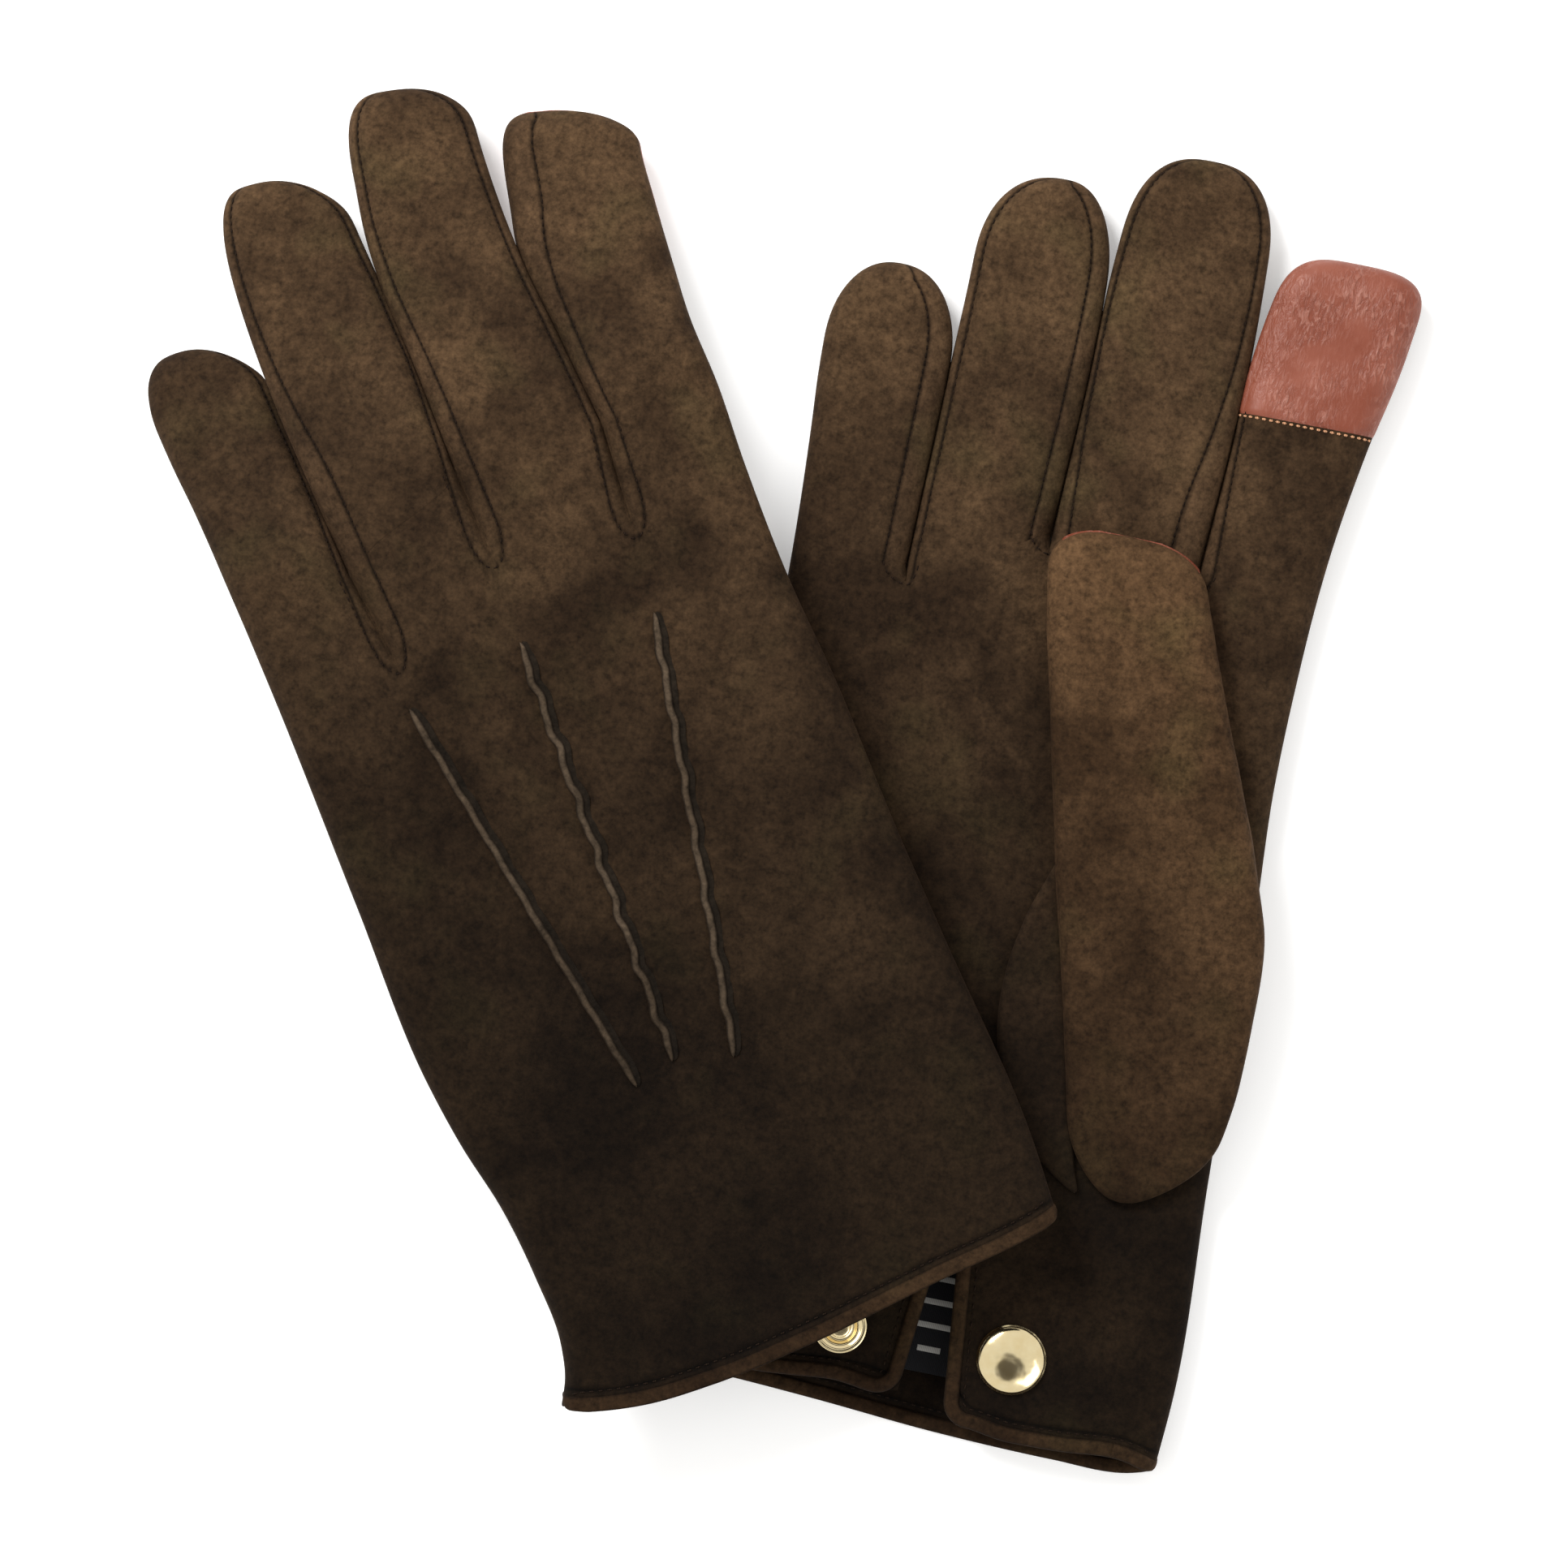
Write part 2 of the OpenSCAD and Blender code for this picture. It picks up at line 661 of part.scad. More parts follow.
function after(name, skip) = chr([for (k = [skip:len(name) - 1]) ord(name[k])]);

module right(name) {
    piece(after(name, len("right_")), R);
}

module left(name) {
    translate([left_x, left_y, left_z + hand_t])
        rotate([0, 0, left_turn])
            mirror([0, 0, 1])
                piece(after(name, len("left_")), L);
}

for (name = NODES) {
    union() {
        if (name[0] == "r") right(name);
        else left(name);
    }
}
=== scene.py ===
import json
import math

import bmesh
import bpy
import numpy as np
from mathutils import Matrix, Vector, noise
from mathutils.bvhtree import BVHTree


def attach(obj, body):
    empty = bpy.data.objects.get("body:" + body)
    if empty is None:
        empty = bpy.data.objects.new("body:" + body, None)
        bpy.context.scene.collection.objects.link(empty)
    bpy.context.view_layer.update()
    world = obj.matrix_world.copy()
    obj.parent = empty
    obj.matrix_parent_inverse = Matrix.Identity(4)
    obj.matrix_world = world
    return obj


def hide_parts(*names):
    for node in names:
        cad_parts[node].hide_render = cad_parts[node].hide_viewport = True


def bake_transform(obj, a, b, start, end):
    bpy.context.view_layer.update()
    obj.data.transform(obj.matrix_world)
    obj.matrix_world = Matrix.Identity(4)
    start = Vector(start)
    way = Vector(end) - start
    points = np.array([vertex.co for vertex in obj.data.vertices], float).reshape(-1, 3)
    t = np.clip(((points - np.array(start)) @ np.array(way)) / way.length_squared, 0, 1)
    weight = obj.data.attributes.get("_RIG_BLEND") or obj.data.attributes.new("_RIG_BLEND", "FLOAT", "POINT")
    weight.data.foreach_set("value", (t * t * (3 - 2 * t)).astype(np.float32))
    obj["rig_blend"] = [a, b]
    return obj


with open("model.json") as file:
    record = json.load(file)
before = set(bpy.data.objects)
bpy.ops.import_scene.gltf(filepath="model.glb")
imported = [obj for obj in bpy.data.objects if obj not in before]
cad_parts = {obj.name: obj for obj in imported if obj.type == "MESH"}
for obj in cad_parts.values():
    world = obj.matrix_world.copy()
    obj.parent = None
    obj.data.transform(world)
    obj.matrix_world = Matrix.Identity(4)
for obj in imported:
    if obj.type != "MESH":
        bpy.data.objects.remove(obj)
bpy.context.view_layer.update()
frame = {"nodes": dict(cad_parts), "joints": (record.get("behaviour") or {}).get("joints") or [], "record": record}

# ---- Table, light and camera ----
# The pair lies on a plain white table under a wide soft light, and is seen from
# straight above, turned a little.
MM = 0.001
scene = bpy.context.scene
scene.view_settings.view_transform = "Standard"

camera_data = bpy.data.cameras.new("camera")
camera_data.sensor_width = 36
camera_data.lens = 196
camera_data.clip_end = 10
camera = bpy.data.objects.new("camera", camera_data)
camera.location = (-42.95 * MM, 113.3 * MM, 1.612)
camera.rotation_euler = (0, 0, math.radians(11.2))
scene.collection.objects.link(camera)
scene.camera = camera

room = bpy.data.worlds.new("room")
room.use_nodes = True
sky = room.node_tree.nodes["Background"]
sky.inputs["Strength"].default_value = 0.8
sky_way = room.node_tree.nodes.new("ShaderNodeTexCoord")
sky_height = room.node_tree.nodes.new("ShaderNodeVectorMath")
sky_height.operation = "DOT_PRODUCT"
sky_height.inputs[1].default_value = (0.03, -0.24, 0.97)
sky_ramp = room.node_tree.nodes.new("ShaderNodeValToRGB")
room.node_tree.links.new(sky_way.outputs["Generated"], sky_height.inputs[0])
room.node_tree.links.new(sky_height.outputs["Value"], sky_ramp.inputs["Fac"])
room.node_tree.links.new(sky_ramp.outputs["Color"], sky.inputs["Color"])
sky_ramp.color_ramp.elements[0].position = 0.955
sky_ramp.color_ramp.elements[0].color = (1, 0.985, 0.96, 1)
sky_ramp.color_ramp.elements[1].position = 0.98
sky_ramp.color_ramp.elements[1].color = (0.12, 0.11, 0.1, 1)
scene.world = room


def softbox(name, at, size, power):
    """A square lamp that faces the middle of the pair."""
    lamp = bpy.data.lights.new(name, "AREA")
    lamp.size = size
    lamp.energy = power
    held = bpy.data.objects.new(name, lamp)
    held.location = at
    to = Vector((-0.02, 0.11, 0)) - Vector(at)
    held.rotation_euler = to.to_track_quat("-Z", "Y").to_euler()
    scene.collection.objects.link(held)


softbox("key", (-0.75, 0.75, 0.9), 0.5, 16)
softbox("fill", (0.9, -0.5, 0.9), 0.9, 5)


def new_material(name):
    """A material with its nodes, its shader and a function that adds a linked node."""
    finish = bpy.data.materials.new(name)
    finish.use_nodes = True
    nodes = finish.node_tree.nodes
    links = finish.node_tree.links
    shader = nodes["Principled BSDF"]
    place = nodes.new("ShaderNodeTexCoord").outputs["Object"]

    def add(kind, values=(), **wires):
        made = nodes.new(kind)
        for key, value in dict(values).items():
            if hasattr(made, key):
                setattr(made, key, value)
            else:
                made.inputs[key].default_value = value
        for key, wire in wires.items():
            socket = int(key[1:]) if key[0] == "i" and key[1:].isdigit() else key.replace("_", " ")
            links.new(wire, made.inputs[socket])
        return made

    return finish, shader, place, add, links


def two_toned(name, kind, settings, dark, light, roughness):
    """A material whose pattern runs between two colours, with what is needed to add to it."""
    finish, shader, place, add, links = new_material(name)
    pattern = add(kind, settings, Vector=place)
    ramp = add("ShaderNodeValToRGB", Fac=pattern.outputs["Fac"])
    ramp.color_ramp.elements[0].color = dark
    ramp.color_ramp.elements[1].color = light
    links.new(ramp.outputs["Color"], shader.inputs["Base Color"])
    shader.inputs["Roughness"].default_value = roughness

    def bump(height, strength, distance):
        depth = {"Strength": strength, "Distance": distance}
        raised = add("ShaderNodeBump", depth, Height=height.outputs["Fac"])
        links.new(raised.outputs[0], shader.inputs["Normal"])

    return finish, shader, place, pattern, add, bump


def rgb(red, green, blue):
    """A linear colour from the eye's 0 to 255 values."""
    def linear(v):
        return (v / 255 / 12.92) if v < 10 else ((v / 255 + 0.055) / 1.055) ** 2.4
    return (linear(red), linear(green), linear(blue), 1)


table_finish, table_shader, _, _, _ = new_material("table_white")
table_shader.inputs["Base Color"].default_value = (0.93, 0.93, 0.93, 1)
table_shader.inputs["Roughness"].default_value = 0.9
table_shader.inputs["Emission Color"].default_value = (1, 1, 1, 1)
table_shader.inputs["Emission Strength"].default_value = 0.28
table_mesh = bmesh.new()
bmesh.ops.create_grid(table_mesh, x_segments=1, y_segments=1, size=3)
table_data = bpy.data.meshes.new("table")
table_mesh.to_mesh(table_data)
table_mesh.free()
table = bpy.data.objects.new("table", table_data)
table.location = (0, 0, -0.0001)
table_data.materials.append(table_finish)
scene.collection.objects.link(table)

# ---- The suede ----
# Brushed kid suede, dark brown. Its nap lies in soft smudges, lighter where it
# was stroked one way, with an even fine grain, and its colour is painted darkest along the seams as the shade in
# their grooves.


def suede(name, light, dark, olive_tone, levels):
    """Suede between a light and a dark colour, olive in places. levels scale it from the cuff upwards, partly as
    its own tone and partly as painted light that brightens towards the fingertips.
    """
    finish, shader, place, add, links = new_material(name)
    cloudy = {"Scale": 30, "Detail": 3, "Roughness": 0.55, "Distortion": 0.4}
    smudge = add("ShaderNodeTexNoise", cloudy, Vector=place)
    blotch = add("ShaderNodeTexNoise", {"Scale": 130, "Detail": 4, "Roughness": 0.6}, Vector=place)
    nap = add("ShaderNodeTexNoise", {"Scale": 1500, "Detail": 3, "Roughness": 0.7}, Vector=place)
    both = add("ShaderNodeMix", {"data_type": "FLOAT", "Factor": 0.28},
               i2=smudge.outputs["Fac"], i3=blotch.outputs["Fac"])
    ramp = add("ShaderNodeValToRGB", Fac=both.outputs[0])
    ramp.color_ramp.elements[0].position = 0.40
    ramp.color_ramp.elements[0].color = dark
    ramp.color_ramp.elements[1].position = 0.62
    ramp.color_ramp.elements[1].color = light
    olive = add("ShaderNodeTexNoise", {"Scale": 55, "Detail": 2}, Vector=place)
    olive_part = add("ShaderNodeMapRange", {"From Min": 0.55, "From Max": 0.75, "To Max": 0.5},
                     Value=olive.outputs["Fac"])
    tinted = add("ShaderNodeMix", {"data_type": "RGBA"}, i0=olive_part.outputs[0], i6=ramp.outputs["Color"])
    tinted.inputs[7].default_value = olive_tone
    clump = add("ShaderNodeTexNoise", {"Scale": 620, "Detail": 2, "Roughness": 0.6}, Vector=place)
    fibres = add("ShaderNodeMix", {"data_type": "FLOAT", "Factor": 0.55},
                 i2=nap.outputs["Fac"], i3=clump.outputs["Fac"])
    contrast = {"From Min": 0.34, "From Max": 0.66, "To Min": 0.5, "To Max": 1.5}
    grain = add("ShaderNodeMapRange", contrast, Value=fibres.outputs[0])
    grained = add("ShaderNodeVectorMath", {"operation": "SCALE"},
                  i0=tinted.outputs[2], Scale=grain.outputs[0])
    # The seam attribute darkens the colour to a fifth along each seam: painted shade in the seam's groove.
    seam = add("ShaderNodeAttribute", {"attribute_name": "seam"})
    shade = add("ShaderNodeMapRange", {"To Min": 1.0, "To Max": 0.2}, Value=seam.outputs["Fac"])
    painted_seam_shade = add("ShaderNodeVectorMath", {"operation": "SCALE"}, i0=grained.outputs[0], Scale=shade.outputs[0])
    # Darker at the cuff and lighter up the glove: partly the suede's own tone, partly painted light brighter
    # towards the fingertips.
    height = add("ShaderNodeSeparateXYZ", i0=place)
    up_glove = add("ShaderNodeMapRange", {"From Min": 0.0, "From Max": 0.24}, Value=height.outputs["Y"])
    tone_and_painted_light = add("ShaderNodeValToRGB", Fac=up_glove.outputs[0])
    stops = tone_and_painted_light.color_ramp.elements
    while len(stops) < len(levels):
        stops.new(0.5)
    for n, tone in enumerate(levels):
        stops[n].position = n / (len(levels) - 1)
        stops[n].color = (tone, tone * 0.985, tone * 0.94, 1)
    toned = add("ShaderNodeVectorMath", {"operation": "MULTIPLY"},
                i0=painted_seam_shade.outputs[0], i1=tone_and_painted_light.outputs["Color"])
    links.new(toned.outputs[0], shader.inputs["Base Color"])
    bump_nap = add("ShaderNodeBump", {"Strength": 0.5, "Distance": 0.00025}, Height=nap.outputs["Fac"])
    bump_soft = add("ShaderNodeBump", {"Strength": 0.35, "Distance": 0.0012},
                    Height=blotch.outputs["Fac"], Normal=bump_nap.outputs[0])
    links.new(bump_soft.outputs[0], shader.inputs["Normal"])
    shader.inputs["Roughness"].default_value = 0.95
    shader.inputs["Specular IOR Level"].default_value = 0.1
    shader.inputs["Sheen Weight"].default_value = 0.06
    shader.inputs["Sheen Roughness"].default_value = 0.4
    shader.inputs["Sheen Tint"].default_value = rgb(150, 110, 76)
    return finish


# Brightness from the cuff to the fingertips for each suede: partly its own tone, partly painted light.
hand_levels = (0.12, 0.15, 0.35, 0.64, 0.76)
edge_levels = (0.5, 0.55, 0.75, 0.9, 0.9)
thumb_levels = (0.30, 0.36, 0.62, 0.98, 1.12)
hem_levels = (0.30, 0.32, 0.5, 0.7, 0.8)
suede_finish = suede("brown_suede", rgb(90, 69, 49), rgb(55, 40, 27), rgb(82, 69, 45), hand_levels)
strip_finish = suede("brown_suede_strip", rgb(94, 72, 52), rgb(62, 46, 32), rgb(86, 72, 48), hand_levels)
edge_finish = suede("brown_suede_edge", rgb(88, 75, 62), rgb(72, 60, 48), rgb(82, 72, 57), edge_levels)
thumb_finish = suede("brown_suede_thumb", rgb(90, 67, 46), rgb(58, 41, 26), rgb(82, 67, 42), thumb_levels)
hem_finish = suede("brown_suede_hem", rgb(92, 69, 48), rgb(66, 47, 31), rgb(86, 69, 44), hem_levels)

# ---- The gloves' shape ----
# Each glove is cut flat: the hand and the fingers' outlines, in millimetres across
# and up from the cuff, the back of the hand at 0 and the palm at 9. The outlines
# of the two gloves differ a little, as they lie.
RIGHT, LEFT = 0, 1
BACK, PALM = 0, 1
HAND, INDEX, FLAP, THUMB, CAP = 0, 4, 5, 6, 7
SIDES = ("right", "left")
FINGERS = ("pinky", "ring", "middle", "index")
mounts = {m["name"]: m for m in frame["record"]["mounts"]}
joints = {j["name"]: j for j in frame["joints"]}
middle_z = mounts["right_wrist"]["pos_m"][2] / MM
half_t = middle_z - 0.2
wrist = mounts["left_wrist"]
left_turn = math.atan2(wrist["axis"][0], -wrist["axis"][1])
PLACES = (
    Matrix.Scale(MM, 4),
    Matrix.Translation(wrist["pos_m"])
    @ Matrix.Rotation(left_turn, 4, "Z")
    @ Matrix.Diagonal((MM, MM, -MM, 1))
    @ Matrix.Translation((0, 0, -middle_z)),
)


def through(*points):
    """A smooth curve through points that are given as (y, value)."""
    at = np.array(points, float)
    slope = np.gradient(at[:, 1], at[:, 0])

    def curve(y):
        k = np.clip(np.searchsorted(at[:, 0], y) - 1, 0, len(at) - 2)
        run = at[k + 1, 0] - at[k, 0]
        t = np.clip((y - at[k, 0]) / run, 0, 1)
        left_part = (2 * t**3 - 3 * t**2 + 1) * at[k, 1] + (t**3 - 2 * t**2 + t) * run * slope[k]
        right_part = (3 * t**2 - 2 * t**3) * at[k + 1, 1] + (t**3 - t**2) * run * slope[k + 1]
        return left_part + right_part

    return curve


def level(value):
    return through((0, value), (1, value))


# The little finger's side of the cuff draws in at the wrist.
wrist_side = (
    (0, -48.65), (4, -46.4), (10, -44.7), (24, -44.4), (38, -45.5), (52, -48.2),
    (65, -49.75), (100, -49.8), (144, -49.75), (164, -50.2), (180, -51))
thumb_side = (
    (0, 50.5), (14, 51.4), (55, 50), (80, 49.2), (105, 49), (130, 47.8), (151, 48.1), (167, 48.9))
# Where two fingers part: (height, across), on the palm and on the back.
pinky_ring, ring_middle, middle_index = (158.5, -28.25), (169.4, -2.65), (167.4, 25.95)
partings = (pinky_ring, ring_middle, middle_index)
back_partings = ((138, -26.05), (149.6, -2.25), (145, 24.25))
valleys = (
    through((0, -24), (60, -25), (120, -26), back_partings[0], pinky_ring),
    through((0, -2.65), (120, -2.5), back_partings[1], ring_middle),
    through((0, 25.95), (120, 24.8), back_partings[2], middle_index),
)
# Left edge, right edge, tip height, tip roundness and how square the tip is, for each finger.
outlines = (
    (
        (
            through(*wrist_side, (191, -51.7), (204, -51.9), (213.8, -51.6)),
            through(pinky_ring, (180, -27.8), (196, -27.6), (213.8, -28.7)),
            213.8, 17, 2.3,
        ), (
            through(pinky_ring, (180, -27.8), (196, -27.5), (214, -27.1), (235.3, -27.2)),
            through(ring_middle, (200, -1.5), (217, -1.6), (235.3, -3.0)),
            235.3, 18, 2.35,
        ), (
            through(ring_middle, (200, -1.45), (217, -1.2), (244, 0.6)),
            through(middle_index, (190, 27.3), (209, 27.8), (224, 27.5), (244, 26.4)),
            244, 17, 2.6,
        ), (
            through(middle_index, (190, 27.35), (209, 28.1), (220, 29.8), (230, 32.2)),
            through(*thumb_side, (174, 49.5), (197, 52.8), (212.7, 55.9), (222, 57.2), (230, 58.4)),
            230, 10.5, 3.4,
        ),
    ), (
        (
            through(*wrist_side, (191, -51.9), (203, -52.2), (210.2, -51.6)),
            through(pinky_ring, (175, -28.9), (190.7, -29.4), (200, -29.45), (210.2, -29)),
            210.2, 14, 2.5,
        ), (
            through(pinky_ring, (175, -28.8), (190.7, -29.4), (200, -29.4), (214, -28.9), (234.2, -26.6)),
            through(ring_middle, (190, -2.6), (208, -2.9), (221, -3.4), (234.2, -3.0)),
            234.2, 16.5, 2.7,
        ), (
            through(ring_middle, (190, -2.6), (208, -2.85), (216.6, -2.2), (228, -0.2), (241, 2.6)),
            through(middle_index, (185, 24.6), (204, 23.4), (217, 23.6), (230, 24.6), (241, 26.2)),
            241, 14.5, 2.8,
        ), (
            through(middle_index, (185, 24.6), (204, 23.45), (210.7, 24.8), (219.4, 27.2), (226, 29.2)),
            through(*thumb_side, (178.6, 48.6), (190, 49.5), (205, 50.9), (212, 51.6), (226, 53.4)),
            226, 12, 3.1,
        ),
    ),
)
# Where across each finger its tip is highest, from its left edge at 0 to its right edge at 1.
peaks = ((0.5, 0.6, 0.5, 0.45), (0.32, 0.3, 0.36, 0.28))
# How steeply each tip rises on its left and falls on its right, per finger of each glove.
straight_tip = (0, 0)
slants = ((straight_tip,) * 4, ((0, 0.42), (0.08, 0.36), (0.22, 0.3), (0.3, 0.45)))
# How far inside its left and right edge each finger's seam runs, on the back and on the palm.
plain = level(2.0)
seam_ins = (
    (
        ((level(1.6), level(1.8)), (plain, plain), (plain, plain), (plain, level(1.6))),
        (
            (level(1.5), through((160, 4.6), (195, 4.8), (214, 4.2))),
            (level(1.5), through((169, 4.0), (200, 3.9), (235, 3.2))),
            (
                through((170, 3.0), (197, 1.1), (235, 1.4)),
                through((168, 6.4), (179, 6.2), (195, 4.1), (208, 2.8), (244, 1.8)),
            ),
            (through((168, 2.6), (190, 1.3), (229, 1.3)), level(1.5)),
        ),
    ),
    (
        (
            (level(1.5), through((138, 3.2), (157, 1.5), (210, 1.3))),
            (
                through((138, 3.2), (158, 4.6), (173, 4.6), (197, 2.6), (234, 1.8)),
                through((150, 3.4), (170, 1.6), (234, 1.5)),
            ), (
                through((150, 3.6), (179, 3.4), (205, 2.4), (241, 1.8)),
                through((145, 3.4), (165, 1.9), (204, 1.6), (241, 1.9)),
            ),
            (through((145, 3.6), (165, 3.0), (187, 3.2), (210, 6.4), (226, 5.4)), level(1.5)),
        ),
        ((level(1.6), plain), (plain, plain), (plain, plain), (plain, level(1.6))),
    ),
)
side_round = 5.0
# How wide the painted shade along each seam is.
seam_shade_wide = 0.34
groove_wide = 0.5
groove_deep = 0.4
edge_overlap = 0.08
on_table = 0.02
slit_x = 4.5
slit_top = 50
slit_half = 5
slit_corner = 5


def rounding(d, r):
    """How thick a rolled edge is, from 0 on the edge to 1 where it is flat."""
    return np.sqrt(np.maximum(0, 1 - (1 - np.clip(d / r, 0, 1)) ** 2))


def ease(t):
    t = np.clip(t, 0, 1)
    return t * t * (3 - 2 * t)


# The hem's height along each sheet of each glove.
hem_lines = (
    (
        through((-48.65, 2.0), (-32.6, 1.6), (-15.4, 0.6), (8.2, -1.2), (31.6, -2.0), (45, -1.9),
                (50.5, -0.6)),
        through((-48.65, 2.0), (-40, 3.6), (-27, 4.2), (-1, 4.6), (9, 1.2), (15.6, 0.4), (31, 0.3),
                (44, 0.9), (50.5, -0.6)),
    ),
    (
        through((-48.65, -1.2), (-44, -2.9), (-34, -5.5), (-20.5, -6.7), (-0.8, -6.4), (24.6, -4.4),
                (45, -3.0), (50.5, -2.2)),
        through((-48.65, -1.2), (-40, 2.0), (-27, 4.0), (-1, 4.5), (9, 1.2), (15.6, 0.6), (31, 0.3),
                (44, -0.8), (50.5, -2.2)),
    ),
)
facing = 9.0


def hem_y(side, x, face):
    return hem_lines[side][face](x)


def crotch_row(c):
    """Height of the line where the fingers start, for a place c counted in fingers."""
    return np.interp(c, (0, 1, 2, 3, 4), (160, *(height for height, _ in partings), 168))


def parting(j, face):
    """The foot, the top and the depth of the round foot of parting j on one sheet."""
    top = partings[j][0]
    return (back_partings[j][0], top, 9) if face == BACK else (top - 4, top, 4)


def hand_edge(side, j, y):
    if j == 0:
        return outlines[side][0][0](y)
    if j == 4:
        return outlines[side][3][1](y)
    return valleys[j - 1](y)


def across(k, per, rim, from_left, from_right, width):
    """Distance from a finger's left edge for its column k. Columns rim and per - rim run on the seams."""
    t = np.clip((k - rim) / (per - 2 * rim), 0, 1)
    t = 0.4 * t + 0.6 * (1 - np.cos(math.pi * t)) / 2
    middle = from_left + t * (width - from_left - from_right)
    near_right = width - (per - k) / rim * from_right
    return np.where(k < rim, k / rim * from_left, np.where(k > per - rim, near_right, middle))


def hand_height(side, x, y, face, inset=0.0):
    """Fraction of the full thickness at a point of the hand, and how near it is to a seam."""
    tall = rounding(x - hand_edge(side, 0, y) - inset, side_round)
    tall = tall * rounding(hand_edge(side, 4, y) - x - inset, side_round)
    near = np.full(np.shape(x), 9.0)
    for j in range(3):
        low, top, foot = parting(j, face)
        away = x - valleys[j](y)
        q = np.clip((y - low) / (top - low), 0, 1)
        deep = 1 - (1 - q) ** 2
        tall = tall * (1 - deep * (1 - rounding(np.abs(away) - inset, 1.6 + (side_round - 1.6) * q)))
        seam = np.where(away < 0, seam_ins[side][face][j][1](y), seam_ins[side][face][j + 1][0](y))
        u = np.clip((y - low) / foot, 0, 1)
        seam = seam * np.sqrt(1 - (1 - u) ** 2)
        near = np.minimum(near, np.where(y > low, np.abs(np.abs(away) - seam), np.hypot(away, low - y)))
    return tall, near


def net(columns, rows):
    """A flat net, and the column and row of each of its points."""
    flat = bmesh.new()
    flat.verts.layers.float.new("seam")
    flat.faces.layers.int.new("part")
    flat.faces.layers.int.new("column")
    flat.faces.layers.int.new("row")
    bmesh.ops.create_grid(flat, x_segments=columns, y_segments=rows, size=1)
    at = np.array([v.co for v in flat.verts])
    return flat, np.rint((at[:, 0] + 1) / 2 * columns), np.rint((at[:, 1] + 1) / 2 * rows)


def lay(flat, x, y, z, near=None):
    """Moves the net's points, and notes in the seam attribute how near each is to a seam, which paints shade
    there.
    """
    seam = flat.verts.layers.float["seam"]
    for v, *at in zip(flat.verts, x, y, z):
        v.co = at
    if near is not None:
        for v, s in zip(flat.verts, np.exp(-((near / seam_shade_wide) ** 2))):
            v[seam] = s


def number_faces(flat, columns, rows, part):
    """Gives each face its part, and the lowest column and row of its corners."""
    part_of = flat.faces.layers.int["part"]
    column_of = flat.faces.layers.int["column"]
    row_of = flat.faces.layers.int["row"]
    for f in flat.faces:
        f[part_of] = part
        f[column_of] = int(min(columns[v.index] for v in f.verts))
        f[row_of] = int(min(rows[v.index] for v in f.verts))


def hand_sheet(side, face, first, last, per, rim, rows, inset, slit_sign):
    """One sheet of a hand between two columns. slit_sign is -1 or 1 left or right of the slit, or 0."""
    flat, k, row = net(last - first, rows)
    k = k + first
    c = k / per
    finger = np.minimum(c.astype(int), 3)

    def x_at(y):
        x = np.zeros(len(k))
        for i in range(4):
            mine = finger == i
            low = hand_edge(side, i, y) + (inset if i == 0 else 0)
            high = hand_edge(side, i + 1, y) - (inset if i == 3 else 0)
            ins = seam_ins[side][face][i]
            spot = low + across(k - i * per, per, rim, ins[0](y), ins[1](y), high - low)
            x[mine] = spot[mine]
        return x

    hem = np.zeros(len(k))
    start = x_at(hem)
    bottom = hem_y(side, start, face) + 1.0 + 2.5 * inset
    if inset and face == BACK:
        left_part = rounding(start - hand_edge(side, 0, hem), 20)
        right_part = rounding(hand_edge(side, 4, hem) - start, 20)
        bottom = bottom + facing * left_part * right_part
    if slit_sign:
        off = np.abs(start - slit_x)
        off = off - (slit_half - inset) + slit_half * np.clip(1 - off / 25, 0, 1)
        off = np.clip(slit_corner - np.maximum(off, 0), 0, slit_corner)
        bottom = bottom + slit_corner - np.sqrt(slit_corner**2 - off**2)
    fine_rows = rows * 0.09
    fine_part = 0.036
    climb = np.where(
        row < fine_rows,
        row / fine_rows * fine_part,
        fine_part + (1 - fine_part) * (row - fine_rows) / (rows - fine_rows))
    y = bottom + (crotch_row(c) - bottom) * climb
    x = x_at(y)
    if slit_sign:
        open_by = (slit_half + 2.2 * inset) * np.clip(1 - y / (slit_top + 4 * inset), 0, 1)
        edge = slit_x + slit_sign * open_by
        slit_column = last if slit_sign < 0 else first
        left_in, right_in = seam_ins[side][face][2]
        columns = np.full(len(k), slit_column - 2 * per)
        wide = valleys[2](y) - valleys[1](y)
        at_slit = valleys[1](y) + across(columns, per, rim, left_in(y), right_in(y), wide)
        x = x + (edge - at_slit) * np.clip(1 - np.abs(x - at_slit) / 28, 0, 1) * ease((110 - y) / 50)
    tall, near = hand_height(side, x, y, face, inset)
    # On the leather, a line 3 mm above the hem is grooved and painted dark as the groove's shade.
    near = np.minimum(near, np.abs(y - bottom - 3.0))
    tall = tall * (half_t - inset)
    if inset == 0:
        tall = tall - groove_deep * np.exp(-((near / groove_wide) ** 2))
    tall = np.maximum(tall, 0)
    lay(flat, x, y, middle_z + (tall if face == PALM else -tall), near)
    number_faces(flat, k, row, HAND)
    return flat


